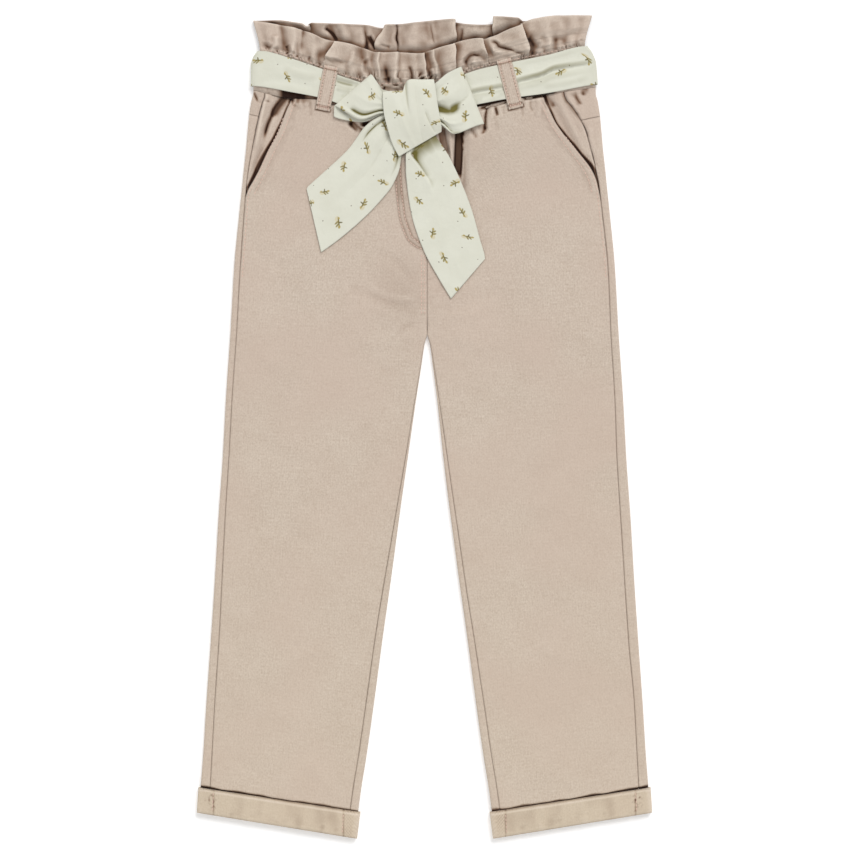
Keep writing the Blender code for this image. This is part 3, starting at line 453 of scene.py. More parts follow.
KNOT = table(
    Section,
    (-32.2, 268, 7, 276.2, 11),
    (-33, 268.4, 7.4, 276.8, 13.4, 0.2),
    (-33.4, 262.6, 8.6, 270.6, 15, 0.8),
    (-32.6, 251.4, 10.6, 256.8, 15.2, 1.2),
    (-29.4, 237.6, 12.6, 245.2, 14.6, 1),
    (-25.4, 225.2, 13.6, 239.2, 12.9, 0.5),
    (-20.4, 215.6, 13.6, 235.6, 11.2),
)
TAILS = {
    "R": table(
        Section,
        (-31, 250.6, -15.6, 226.4, 1.6),
        (-40, 245.8, -18.2, 216.8, 2, 0.4),
        (-47.6, 239.8, -19.8, 206.8, 1.8, 1),
        (-60.4, 222.4, -25.2, 193.6, 0.6, 1),
        (-77, 206.6, -38.6, 176.8, 0.3, 0.6),
        (-89.4, 195.4, -57.6, 158.6, 0.3, 0.3),
        (-93.6, 191.4, -72, 147, 0.2, 0.3),
        (-94.2, 190.2, -82.6, 139.4, 0.2),
    ),
    "L": table(
        Section,
        (-12.4, 226.4, 7, 235, 1.6),
        (-15, 216, 12.4, 227.2, 1.8, 0.2),
        (-15, 205.6, 19.6, 216, 1.5, 0.9),
        (-13.6, 189.6, 28.4, 197.6, 0.8, 1),
        (-10, 168, 38, 172.8, 0.3, 0.7),
        (-0.6, 140.8, 44.4, 149.6, 0.3, 0.4),
        (10.8, 119.6, 47.8, 138.2, 0.2, 0.3),
        (21.2, 102.4, 48.4, 134.4, 0.2),
    ),
}
# Folds of a ribbon run between two places on it: across from edge a (0) to edge b (1), and down in
# sections. `near` and `far` are a fold's reach towards edge a and edge b, and it goes from rise1 to rise2.
RibbonFold = namedtuple("RibbonFold", "across1 down1 across2 down2 near far rise1 rise2")
KNOT_FOLDS = table(
    RibbonFold,
    (0.44, -0.5, 0.46, 3, 0.05, 0.025, -3.6, -0.8),  # where its two lobes meet
    (0.50, -0.5, 0.52, 3.6, 0.07, 0.30, 1.4, 0.2),
    (0.18, 0, 0.26, 4, 0.12, 0.12, 0.9, 0.3),
    (0.76, 3.4, 0.86, 5.4, 0.05, 0.05, -1.2, -0.6),
    (0.84, 0.2, 0.76, 3.4, 0.12, 0.12, 0.8, 0.2),
    (0.62, 2, 0.58, 6, 0.08, 0.10, -0.7, -0.5),
    (0.30, 3, 0.40, 6, 0.10, 0.08, 0.6, 0.5),
)
BOW_FOLDS = {
    "R": table(
        RibbonFold,
        (0.30, 0.4, 0.16, 3.2, 0.10, 0.10, 0.9, 0.3),
        (0.84, 0.9, 0.87, 2.6, 0.11, 0.04, -4.4, -3.4),  # the hollow over its lower roll
        (0.95, 0.7, 0.96, 3.6, 0.07, 0.05, 2, 0.8),
        (0.50, 0.9, 0.56, 3.4, 0.18, 0.14, 1, 0.5),
        (0.74, 4.6, 0.86, 6.8, 0.06, 0.08, -2.6, -2.4),
        (0.50, 5.2, 0.64, 7.6, 0.10, 0.10, -0.8, -0.8),
    ),
    "L": table(
        RibbonFold,
        (0.16, 0.6, 0.10, 3.4, 0.10, 0.10, -0.8, -0.2),
        (0.42, 0.8, 0.30, 3.2, 0.12, 0.12, 1, 0.3),
        (0.62, 0.8, 0.62, 2.3, 0.21, 0.15, -5.4, -2.6),  # the hollow beside the knot
        (0.58, 2.1, 0.44, 3.4, 0.10, 0.10, -1.8, -0.6),
        (0.83, 0.8, 0.85, 2.4, 0.05, 0.05, 3.4, 0.8),
        (0.90, 1, 0.98, 2.2, 0.05, 0.04, -2.6, -1),
    ),
}
TAIL_FOLDS = {
    "R": table(
        RibbonFold,
        (0.06, -0.2, 0.05, 2.2, 0.08, 0.06, 1.6, 1),  # the folded hem that starts at the knot
        (0.14, -0.2, 0.12, 2.2, 0.025, 0.05, -3, -2.4),
        (0.70, 0.2, 0.74, 3.6, 0.16, 0.10, 1.5, 0.2),
        (0.50, 0.4, 0.50, 4.4, 0.14, 0.16, -1.1, -0.3),
        (0.90, 0.3, 0.90, 2.6, 0.08, 0.04, -3.2, -0.8),
        (0.32, 0.6, 0.38, 5.4, 0.12, 0.12, 0.7, 0.2),
    ),
    "L": table(
        RibbonFold,
        (0.13, 1, 0.43, 2.95, 0.40, 0.02, 1.8, 1),  # a facet whose far side drops into shade
        (0.17, 1, 0.46, 2.9, 0.02, 0.34, -3, -1),
        (0.44, 2.7, 0.28, 3.5, 0.12, 0.12, 0.5, 0.1),
        (0.80, 0.4, 0.76, 4.6, 0.14, 0.14, 0.6, 0.2),
        (0.40, 4, 0.44, 6.6, 0.16, 0.16, 0.4, 0.3),
    ),
}
# How far the knot's top edge is moved along its length, from its left lobe to its right one
KNOT_TOP = (
    (0, -1.4), (0.1, -1.8), (0.33, -3.8), (0.39, -4.3), (0.42, 0.6), (0.46, 3.6), (0.52, 4.6), (0.75, 2.7),
    (1, 0.6),
)

LoopPlace = namedtuple("LoopPlace", "name top_x top_y bottom_x bottom_y")
FRONT_LOOPS = table(
    LoopPlace,
    ("loop_front_R", -74.4, 288.5, -81.4, 252.8),
    ("loop_front_L", 63.1, 293.8, 73.2, 254.5),
)
BACK_LOOPS = table(
    LoopPlace,
    ("loop_back_R", -62, 302, -62, 263),
    ("loop_back_C", 1.8, 302, 1.8, 263),
    ("loop_back_L", 66, 304, 66, 264),
)
# Height of a front belt loop, by the share of the way down
LOOP_ARCH = ((0, 8.5), (0.04, 8.9), (0.1, 9.2), (0.86, 9.2), (0.93, 8.3), (1, 7.8))

# ---- The mock fly: (x, y) places along its curved edge, and its two rows of stitches inside it ----
FLY_CURVE = ((-24.8, 236), (-24.6, 212), (-23.4, 190), (-20.4, 166), (-14, 149), (-6, 142.6), (1.6, 141))
FLY_ROWS = (1.0, 5.0)
FLY_LEFT = -27.0
FLY_FOOT_Y = 138.0


# ---- Small mathematics ----
def lerp(start, end, share):
    return start + (end - start) * share


def smooth(share):
    """0 up to 0 and 1 from 1, with an even slope between."""
    share = min(max(share, 0.0), 1.0)
    return share * share * (3.0 - 2.0 * share)


def dip(distance, width):
    """A narrow groove: 1 on its line, fading to 0."""
    return exp(-((distance / width) ** 2))


def curve(points):
    """A smooth function through (at, value) points, which never swings past them."""
    at, value = zip(*points)
    slopes = [(value[i + 1] - value[i]) / (at[i + 1] - at[i]) for i in range(len(at) - 1)]
    inner = [0.0 if a * b <= 0 else 2 * a * b / (a + b) for a, b in zip(slopes, slopes[1:])]
    tangents = [slopes[0], *inner, slopes[-1]]

    def read(x):
        x = min(max(x, at[0]), at[-1])
        i = min(bisect_right(at, x) - 1, len(slopes) - 1)
        step = at[i + 1] - at[i]
        s = (x - at[i]) / step
        start = value[i] * (1 + 2 * s) * (1 - s) ** 2 + value[i + 1] * s * s * (3 - 2 * s)
        return start + step * (tangents[i] * s * (1 - s) ** 2 - tangents[i + 1] * s * s * (1 - s))

    return read


def column(rows, value):
    """One named column of a table as a smooth function of its first column."""
    return curve([(row[0], getattr(row, value)) for row in rows])


outer_half = column(BODY, "outer")
leg_gap = column(BODY, "leg_gap")
outseam = {name: column(BODY, "outseam_" + name) for name in SIDES}
inseam = {name: column(BODY, "inseam_" + name) for name in SIDES}
pocket_mouth = {name: column(POCKET_MOUTHS, "mouth_" + name) for name in SIDES}
centre_x = curve(CENTRE_LINE)
front_waist_y = curve(FRONT_WAIST_SEAM)
back_waist_y = curve(BACK_WAIST_SEAM)
yoke_y = curve(YOKE_SEAM)
front_casing_y = curve(FRONT_CASING_TOP)
back_casing_y = curve(BACK_CASING_TOP)
front_frill_y = curve(FRONT_FRILL_TOP)
back_frill_y = curve(BACK_FRILL_TOP)
waistband_left = column(WAISTBAND_SIDES, "left")
waistband_right = column(WAISTBAND_SIDES, "right")
sash_left = column(SASH_SIDES, "left")
sash_right = column(SASH_SIDES, "right")
sash_top_y = column(FRONT_SASH, "top")
sash_bottom_y = column(FRONT_SASH, "bottom")
sash_fold_y = column(SASH_FOLD_LINE, "y")
sash_fold_depth = column(SASH_FOLD_LINE, "depth")
body_top = curve(BODY_TOP)
loop_arch = curve(LOOP_ARCH)


def unevenness(x, y, size, seed):
    """Soft random relief from about -1 to 1, the same every time."""
    return noise.noise(Vector((x / size, y / size, seed)))


# ---- The laid section: a tube pressed flat, with a round fold at each side ----
def bulge(angle):
    """How far a fold reaches out, as a share of its radius, when it has turned by this angle."""
    return 1 - (1 - sin(angle)) ** SQUARENESS


def path_of(across, radius):
    """Distance round the fold, from its outermost point, to a place this far in from the edge."""
    if across >= radius:
        return radius * QUARTER + across - radius
    return radius * acos(1 - (across / radius) ** (1 / SQUARENESS))


def half_round(width, radius, turn):
    """Distance over the top from the outer fold's outermost point to the inner edge."""
    return radius * QUARTER + width - radius - radius * bulge(turn) + radius * turn


def section(width, radius, turn, path):
    """Place across the tube, and height from -1 below to 1 above, at a distance round it."""
    half = half_round(width, radius, turn)
    side = 1.0 if path >= 0 else -1.0
    path = abs(path)
    if path > half:
        side, path = -side, 2 * half - path
    if path < radius * QUARTER:
        return radius * (1 - bulge(QUARTER - path / radius)), side * sin(path / radius)
    inner_start = half - radius * turn
    if path < inner_start:
        return radius + path - radius * QUARTER, side
    angle = (path - inner_start) / radius
    return width - radius * bulge(turn) + radius * bulge(angle), side * cos(angle)


# ---- Heights of the laid cloth ----
def near_segment(x, y, x1, y1, x2, y2):
    """Share along a segment, and signed distance from it."""
    dx, dy = x2 - x1, y2 - y1
    share = ((x - x1) * dx + (y - y1) * dy) / (dx * dx + dy * dy)
    return share, ((x - x1) * dy - (y - y1) * dx) / hypot(dx, dy)


def prepared(*tables):
    """The tables' creases, each with its own bounds, so that a far one is passed over quickly."""
    ready = []
    for crease in sum(tables, ()):
        run = hypot(crease.x2 - crease.x1, crease.y2 - crease.y1)
        reach = crease.width + abs(crease.bow) + run * 0.1
        ready.append((
            min(crease.x1, crease.x2) - reach, max(crease.x1, crease.x2) + reach,
            min(crease.y1, crease.y2) - reach, max(crease.y1, crease.y2) + reach, crease,
        ))
    return ready


def crease_rise(creases, x, y):
    """What prepared creases add to the height."""
    total = 0.0
    for left, right, low, high, crease in creases:
        if left < x < right and low < y < high:
            share, distance = near_segment(x, y, crease.x1, crease.y1, crease.x2, crease.y2)
            distance = abs(distance - crease.bow * 4 * share * (1 - share))
            if distance < crease.width and -0.1 < share < 1.1:
                ends = smooth((share + 0.1) * 4) * smooth((1.1 - share) * 4)
                fade = (distance / crease.width - crease.flat) / (1 - crease.flat)
                total += crease.rise * ends * (1 - smooth(fade))
    return total


def hollow(rise, starts=0.8, deepest=4.0):
    """How much painted shade a hollow of this (negative) rise gets."""
    return 0.75 * smooth((-rise - starts) / (deepest - starts))


BODY_CREASES = prepared(LARGE_CREASES, SMALL_CREASES)
FACING_FOLDS = prepared(FACING_CREASES)
BACK_SIDE_FOLDS = prepared(BACK_SIDE_CREASES)
CUFF_FOLDS = prepared(CUFF_CREASES)
SASH_FOLDS = prepared(SASH_CREASES)
TAIL_BED = prepared(LARGE_CREASES)
FRONT_FRILL_FOLDS = prepared(FRONT_FRILL_CREASES)
BACK_FRILL_FOLDS = prepared(BACK_FRILL_CREASES)


def hem_share(x):
    """Share of the way along the hem, from its inner end to its outer one."""
    inner_x, outer_x = leg_gap(HEM_INNER_Y), outer_half(HEM_OUTER_Y)
    return (abs(x) - inner_x) / (outer_x - inner_x)


def hem_height(x, y):
    """Distance above the slanted hem."""
    return y - lerp(HEM_INNER_Y, HEM_OUTER_Y, hem_share(x))


CUFF_SLANT = (CROTCH_Y - HEM_INNER_Y) / (CROTCH_Y - HEM_OUTER_Y)  # the cuff is deeper at its inner end
CUFF_GAP_DEPTH = 3.4


def cuff_gap(x, y):
    """How open the gap is where the cuff's top edge stands away from the leg: 1 at its widest."""
    above = hem_height(x, y) - CUFF_DEPTH * lerp(CUFF_SLANT, 1.0, hem_share(x))
    if not -2.0 < above < 5.0:
        return 0.0
    corner = 1 - smooth(min(outer_half(y) - abs(x), abs(x) - leg_gap(y)) / 12.0)
    wide = 1.6 + 1.6 * unevenness(x, 5.0, 12.0, 57.0) + 1.0 * corner
    return smooth((above + 1.2) / 0.6) * (1 - smooth((above - 0.5) / wide))


def loop_lift(x, y):
    """How far the back loops, which lie on the floor, lift what passes over them."""
    lift = 0.0
    for place in BACK_LOOPS:
        beside = 1 - smooth((abs(x - place.top_x) - LOOP_WIDTH / 2 - 4.0) / 19.0)
        above = 1 - smooth((y - place.top_y - 2.0) / 8.0)
        below_it = 1 - smooth((place.bottom_y - 4.0 - y) / 12.0)
        lift = max(lift, LOOP_RISE * beside * above * below_it)
    return lift


def underside(x, y):
    """Lowest height of the garment's own cloth: on the floor, or over the sash, the loops or the cuff."""
    on_sash = smooth((y - SASH_LIFT_FROM) / SASH_LIFT_RUN)
    on_sash *= 1 - smooth((y - back_casing_y(x) - 1.0) / 8.0)
    in_cuff = 1 - smooth((hem_height(x, y) - CUFF_DEPTH - 3.0) / CUFF_LIFT_RUN)
    return SASH_RISE * on_sash + CUFF_RISE * in_cuff + loop_lift(x, y)


def topside(x, y):
    """Highest height of the body's cloth."""
    from_knot = hypot(x - KNOT_MIDDLE[0], y - KNOT_MIDDLE[1])
    under_knot = 1 - smooth((from_knot - KNOT_REACH) / 10.0)
    relief = crease_rise(BODY_CREASES, x, y)
    relief += 0.16 * unevenness(x, y * 0.6, 26.0, 1.0) + 0.09 * unevenness(x, y * 0.7, 9.0, 4.0)
    return max(body_top(y) + relief * (1 - under_knot) - CUFF_GAP_DEPTH * cuff_gap(x, y), LOWEST_TOP)


# ---- Cloth pieces ----
def shares(count):
    """Even stations from 0 to 1, with this many steps."""
    return [i / count for i in range(count + 1)]


def stretches(*counts):
    """Stations 0..len(counts), with each whole step cut into its own number of equal parts."""
    return [0.0] + [whole + (i + 1) / count for whole, count in enumerate(counts) for i in range(count)]


def between(keys, station):
    """The value at a station among evenly numbered keys."""
    whole = min(int(station), len(keys) - 2)
    return lerp(keys[whole], keys[whole + 1], station - whole)


CUT_SCALE = 10.0  # the cut's map is in tenths of a metre
NAME_END = "_cloth"
# Cloth that stands out from its surroundings, for some reach round it, is made lighter as wear and painted
# highlight, and cloth that sinks is made darker as painted shade. `depth` is how far out it stands where
# this is strongest, and `weight` is how much that counts.
WearScale = namedtuple("WearScale", "reach depth weight")
PLAIN_WEAR_AND_SHADE = (WearScale(2.6, 0.9, 0.5),)
BILLOW_WEAR_AND_SHADE = (WearScale(2.6, 0.9, 0.26), WearScale(8.0, 3.4, 0.4))  # of gathered and folded cloth


def softened(places, axis, reach):
    """Each place of a grid as the mean of its neighbours along one axis, up to `reach` away."""
    steps = np.linalg.norm(np.diff(places, axis=axis), axis=2)
    count = max(int(reach / max(steps.mean(), 1e-6)), 1)
    padding = [(0, 0)] * 3
    padding[axis] = (count, count)
    padded = np.pad(places, padding, mode="edge")
    length = places.shape[axis]
    window = 2 * count + 1
    return sum(np.take(padded, range(shift, shift + length), axis=axis) for shift in range(window)) / window


def worn_lit_and_shaded(places, shade, flip, billows):
    """How worn the cloth is, with painted highlight, less its painted shade: -0.5 deep in a hollow, 0.5
    where flat, 1 on an edge.
    """
    places = np.array(places)
    along, across = np.gradient(places, axis=0), np.gradient(places, axis=1)
    normals = np.cross(across, along) * (-1.0 if flip else 1.0)
    normals /= np.maximum(np.linalg.norm(normals, axis=2, keepdims=True), 1e-9)
    wear = 0.5 - np.array(shade)
    for scale in BILLOW_WEAR_AND_SHADE if billows else PLAIN_WEAR_AND_SHADE:
        around = softened(softened(places, 0, scale.reach * MM), 1, scale.reach * MM)
        wear += scale.weight * ((places - around) * normals).sum(axis=2) / (scale.depth * MM)
    return np.clip(wear, -0.5, 1.0)


def unrolled(points):
    """Each point's place on the flat cut, in order, with the widest row and the length down the middle."""
    middle = len(points[0]) // 2
    along = [0.0]
    for upper, lower in zip(points, points[1:]):
        along.append(along[-1] + (lower[middle] - upper[middle]).length)
    cut_places = []
    widest = 0.0
    for line, down in zip(points, along):
        run = 0.0
        for at, spot in enumerate(line):
            run += (spot - line[at - 1]).length if at else 0.0
            cut_places.append((run * CUT_SCALE, down * CUT_SCALE))
        widest = max(widest, run)
    return cut_places, widest, along[-1]


def cloth(name, columns, rows, row, wall, finish, nodes=None, flip=False, ring=False,
          inside_out=False, billows=False):
    """One piece of cloth: a grid whose row(v) gives a function of u that gives x, y, z and shade.

    It stands in for the solid of its own name, or for `nodes`. The cut's own map is kept as UVs, so that
    the weave and the print follow the cloth.
    """
    nodes = nodes or [name]
    points = []
    shade = []
    for station in rows:
        place = row(station)
        line = [place(at) for at in columns]
        points.append([Vector(spot[:3]) * MM for spot in line])
        shade.append([spot[3] if len(spot) > 3 else 0.0 for spot in line])
    cut_places, widest, middle_length = unrolled(points)
    wear = worn_lit_and_shaded(points, shade, flip != inside_out, billows)
    grid = bmesh.new()
    bmesh.ops.create_grid(grid, x_segments=len(columns) - 1, y_segments=len(rows) - 1, size=0.5)
    grid.verts.ensure_lookup_table()
    # this attribute carries wear, painted highlight and painted shade
    wear_shade_and_highlight = grid.verts.layers.float.new("Wear")
    for vertex in grid.verts:
        line, place = divmod(vertex.index, len(columns))
        vertex.co = points[line][place]
        vertex[wear_shade_and_highlight] = wear[line][place]
    area = sum(face.calc_area() for face in grid.faces)
    cut = grid.loops.layers.uv.new("Cut")
    for face in grid.faces:
        face.smooth = True
        for corner in face.loops:
            corner[cut].uv = cut_places[corner.vert.index]
    if ring:
        bmesh.ops.remove_doubles(grid, verts=grid.verts, dist=0.01 * MM)
    if flip:
        bmesh.ops.reverse_faces(grid, faces=grid.faces)
    piece = made_piece(name, grid, finish)
    walls = piece.modifiers.new("Wall", "SOLIDIFY")
    walls.thickness = wall
    walls.offset = -1.0
    walls.use_even_offset = False
    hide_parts(*nodes)
    length = max(middle_length, area / widest)


def made_piece(name, grid, finish):
    """An object of a finished bmesh, which rides on the trousers and takes the slot of its finish."""
    mesh = bpy.data.meshes.new(name + NAME_END)
    grid.to_mesh(mesh)
    grid.free()
    mesh.materials.append(finish)
    piece = bpy.data.objects.new(name + NAME_END, mesh)
    dressed.objects.link(piece)
    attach(piece, "root")
    return piece


# ---- Body panels ----
def below(seam, gap=SEAM):
    """The same seam curve, moved down by half a gap, or up where that is negative."""
    return lambda x: seam(x) - gap


def crotch_line(_x):
    """The crotch's level as a seam curve, the same at every x."""
    return CROTCH_Y


def hip_row(side, share, start, end):
    """A row of the half body at a share of the way down from one seam to another.

    Returns y of its outer end, its width, how far its inner edge has rolled over, and place(path), which
    gives x, y and height.
    """
    edge_y = lerp(start(side * WAIST_HALF), end(side * WAIST_HALF), share)
    inner_y = lerp(start(0.0), end(0.0), share)
    outer_x = side * outer_half(edge_y)
    inner_x = centre_x(inner_y) + side * SEAM
    turn = QUARTER * smooth(1 - (inner_y - CROTCH_Y) / CROTCH_TURN)
    width = abs(inner_x - outer_x)

    def place(path):
        across, height = section(width, FOLD, turn, path)
        x = lerp(outer_x, inner_x, across / width)
        return x, lerp(start(x), end(x), share), height

    return edge_y, width, turn, place


def leg_row(side, share, grow=0.0):
    """A row of the leg, from the crotch at 0 to the hem at 1, as hip_row gives it."""
    outer_y, inner_y = lerp(CROTCH_Y, HEM_OUTER_Y, share), lerp(CROTCH_Y, HEM_INNER_Y, share)
    outer_x = side * (outer_half(outer_y) + grow)
    inner_x = centre_x(inner_y) + side * (leg_gap(inner_y) - grow)
    width = hypot(inner_x - outer_x, inner_y - outer_y)

    def place(path):
        across, height = section(width, FOLD + grow, QUARTER, path)
        return lerp(outer_x, inner_x, across / width), lerp(outer_y, inner_y, across / width), height

    return outer_y, width, QUARTER, place


def body_row(side, station, start):
    """A row of a panel that runs from the seam `start` to the crotch at 1 and the hem at 2."""
    if station <= 1.0:
        return hip_row(side, station, start, crotch_line)
    return leg_row(side, station - 1.0)


def on_body(x, y, height, low=0.0, high=0.0):
    """The point of the laid skin over (x, y), with its lower and upper surface moved out by low and high."""
    return x, y, lerp(underside(x, y) - low, topside(x, y) + high, (height + 1) / 2)


SEAM_DEPTH = 0.7
SEAM_GROOVE = 1.0  # half its width


def seam_edge(distance, y, seed):
    """Relief beside a plain seam: a groove on the seam, and slight puckers that its thread pulls in."""
    pucker = unevenness(distance * 0.3, y, 4.0, seed)
    return -SEAM_DEPTH * (1 - smooth(distance / SEAM_GROOVE)) + 0.5 * pucker * dip(distance - 2.4, 2.4)


def seam_shade(distance, y, seed):
    """Shade in the groove of a seam: darker where its thread puckers the cloth, and above the hips."""
    stretch = smooth((y - 100.0) / 60.0)
    dashes = (0.3 + 0.6 * stretch) * max(unevenness(3.0, y, 3.0, seed), 0.0)
    return (0.07 + 0.1 * stretch + dashes) * (1 - smooth(distance / SEAM_GROOVE))


def loop_shade(x, y):
    """Shade on the front just past the end of a belt loop."""
    for place in FRONT_LOOPS:
        ends = (place.top_x, place.top_y, place.bottom_x, place.bottom_y)
        share, distance = near_segment(x, y, *ends)
        past = (share - 1) * hypot(ends[2] - ends[0], ends[3] - ends[1])
        if -2.0 < past < 3.0 and abs(distance) < LOOP_WIDTH / 2 + 1.0:
            return 0.65 * (1 - smooth((past - 0.3) / 1.2))
    return 0.0


def mouth_edge(distance, y):
    """Relief beside the pocket mouth: a rolled edge, then a hem held down by two rows of stitches."""
    raised = 1.0 * smooth(distance / 0.8) * (1 - smooth((distance - 3.0) / 6.0))
    rows = 0.14 * (dip(distance - 1.9, 0.8) + dip(distance - 5.4, 1.0))
    return raised - rows - 1.4 * (1 - smooth(distance / 1.1)) + 0.2 * unevenness(distance, y, 4.0, 7.0)


def mouth_shade(distance):
    """Shade in the rows of stitches beside the pocket mouth, and on its rolled edge."""
    rows = 0.07 * dip(distance - 1.9, 0.9) + 0.1 * dip(distance - 5.6, 1.2)
    return rows + 0.35 * (1 - smooth(distance / 0.7))


def near_fly(x, y):
    """Whether a place may lie on the mock fly."""
    return y >= FLY_FOOT_Y and FLY_LEFT < x < centre_x(y)


def fly_rise(x, y):
    """The mock fly is a second layer between its curved stitching and the centre seam."""
    if not near_fly(x, y):
        return 0.0
    inside = fly_inset(x, y)
    return 0.6 * smooth((inside + 0.4) / 1.4) - 0.35 * sum(dip(inside - row, 1.0) for row in FLY_ROWS)


def fly_shade(x, y):
    """The rows of the fly's stitching, with the blush of the second layer between them."""
    if not near_fly(x, y):
        return 0.0
    inside = fly_inset(x, y)
    rows = sum(dip(inside - row, 1.1) for row in FLY_ROWS)
    upper = smooth((y - 176.0) / 12.0)
    return 0.22 * rows + 0.1 * smooth((inside + 0.5) / 1.0) + (0.05 + 0.25 * upper) * dip(inside - 3.0, 2.4)


def fly_inset(x, y):
    """Distance inside the fly's curved edge."""
    best = inf
    for (x1, y1), (x2, y2) in zip(FLY_CURVE, FLY_CURVE[1:]):
        share, distance = near_segment(x, y, x1, y1, x2, y2)
        held = min(max(share, 0.0), 1.0)
        away = hypot(x - lerp(x1, x2, held), y - lerp(y1, y2, held))
        if away < abs(best):
            best = away if distance < 0 else -away
    return best


fly_x = curve([(y, x) for x, y in reversed(FLY_CURVE)])
EDGE_STATIONS = [0.0, 0.04, 0.1, 0.17, 0.25, 0.36, 0.5, 0.66, 0.82, 1.0]
EDGE_REACH = 8.0  # width of the finely cut strip along each edge of a front panel
CUFF_EDGE_ROWS = [1.936 + 0.0014 * i for i in range(20)]  # at the top edge of the cuff
LAST_ROWS = CUFF_EDGE_ROWS + [1.968, 1.976, 1.984, 1.992, 2.0]


def spread(*legs):
    """Stations along legs of (start, end, count), up to the last leg's end."""
    return [lerp(start, end, i / count) for start, end, count in legs for i in range(count)] + [legs[-1][1]]


# From the waist seam to the crotch at 1 and the hem at 2, close together at the gathers, the fly's foot
# and the cuff
FRONT_ROWS = spread(
    (0.0, 0.16, 22), (0.16, 0.56, 30), (0.56, 0.68, 30), (0.68, 1.0, 24), (1.0, 1.93, 150),
) + LAST_ROWS
BACK_ROWS = spread((0.0, 1.0, 64), (1.0, 1.93, 140)) + LAST_ROWS
FRONT_COLUMNS = spread((1.0, 1.78, 52), (1.78, 2.0, 40))


def with_edges(middle):
    """Stations of a panel with fine columns along both edges."""
    return EDGE_STATIONS + middle[1:] + [3.0 - share for share in reversed(EDGE_STATIONS)][1:]


SHADED_FROM_Y = 180.0  # above this, the front's creases get painted shade
LOOP_SHADOW = (-102.5, 263.6)  # painted shadow beside the right belt loop, where the panel sinks away from the sash
# painted shade round the crotch
FORK_SHADOW = (-18.0, 106.0)


def front_leg(name, side, looks):
    """From the waist seam to the hem, and from the pocket mouth and side seam to the inner seams."""

    def row(v):
        edge_y, width, turn, place = body_row(side, v, below(front_waist_y))
        is_mouth = edge_y > POCKET_TOP_Y
        edge = pocket_mouth[name](edge_y) if is_mouth else outseam[name](edge_y)
        start = path_of(edge, FOLD) + SEAM
        end = half_round(width, FOLD, turn) - path_of(inseam[name](edge_y), FOLD) - SEAM * turn / QUARTER
        open_share = smooth((edge_y - POCKET_TOP_Y) / 6.0)

        def at(u):
            path = between((start, start + EDGE_REACH, end - EDGE_REACH, end), u)
            x, y, height = place(path)
            x, y, z = on_body(x, y, height)
            relief = seam_edge(end - path, y, 11.0 + side)
            # the seam's dark line, and painted shade in the gap under the cuff's top edge
            shade = seam_shade(end - path, y, 11.0 + side) + 0.95 * cuff_gap(x, y)
            inward = path - start
            if inward < EDGE_REACH * 1.2:
                relief += lerp(seam_edge(inward, y, 17.0 + side), mouth_edge(inward, y), open_share)
                shade += lerp(seam_shade(inward, y, 17.0 + side), mouth_shade(inward), open_share)
            if side < 0:
                relief += fly_rise(x, y)
                shade += fly_shade(x, y)
            # painted shade in the hip's creases, painted shadow past the belt loops and beside the right
            # one, and painted shade at the crotch
            if y > SHADED_FROM_Y:
                shade += 1.2 * hollow(crease_rise(BODY_CREASES, x, y)) + loop_shade(x, y)
                shade += 0.85 * dip(hypot((x - LOOP_SHADOW[0]) * 0.45, y - LOOP_SHADOW[1]), 5.0)
            shade += 0.12 * dip(hypot(x - FORK_SHADOW[0], (y - FORK_SHADOW[1]) * 0.8), 26.0)
            return x, y, z + relief, shade

        return at

    cloth("front_leg_" + name, with_edges(FRONT_COLUMNS), FRONT_ROWS, row, looks.twill_wall, twill(looks),
          flip=side < 0)


def wrapped_keys(name, width, turn, y):
    """Distances round the section for a back piece, which wraps over the side fold and the inner one."""
    half = half_round(width, FOLD, turn)
    start = path_of(outseam[name](y), FOLD) - SEAM
    end = -half - path_of(inseam[name](y), FOLD) + SEAM * turn / QUARTER
    rounding = FOLD * QUARTER
    return start, rounding * 0.7, -rounding, rounding - half, end


WRAP_COLUMNS = stretches(8, 8, 44, 12)


def back_relief(x, y, height, path, start, end, seed):
    """Relief of a back piece: seams at both ends, creases at the side, and soft unevenness beneath."""
    relief = seam_edge(start - path, y, seed) + seam_edge(path - end, y, seed + 3.0)
    if height > 0:
        return relief + height * crease_rise(BACK_SIDE_FOLDS, x, y)
    return -relief + 0.25 * max(unevenness(x, y * 0.6, 22.0, 9.0), 0.0)


def back_leg(name, side, looks):
    """The underside from the yoke seam to the hem, wrapped over both folds to the seams on the front."""

    def row(v):
        edge_y, width, turn, place = body_row(side, v, below(yoke_y))
        keys = wrapped_keys(name, width, turn, edge_y)

        def at(u):
            path = between(keys, u)
            x, y, height = place(path)
            relief = back_relief(x, y, height, path, keys[0], keys[-1], 23.0 + side)
            x, y, z = on_body(x, y, height)
            shade = seam_shade(keys[0] - path, y, 5.0) + seam_shade(path - keys[-1], y, 6.0)
            # painted shade in the gap under the cuff's top edge
            return x, y, z + relief, shade + 1.1 * cuff_gap(x, y) * smooth(height + 1)

        return at

    cloth("back_leg_" + name, WRAP_COLUMNS, BACK_ROWS, row, looks.twill_wall, twill(looks), flip=side > 0)


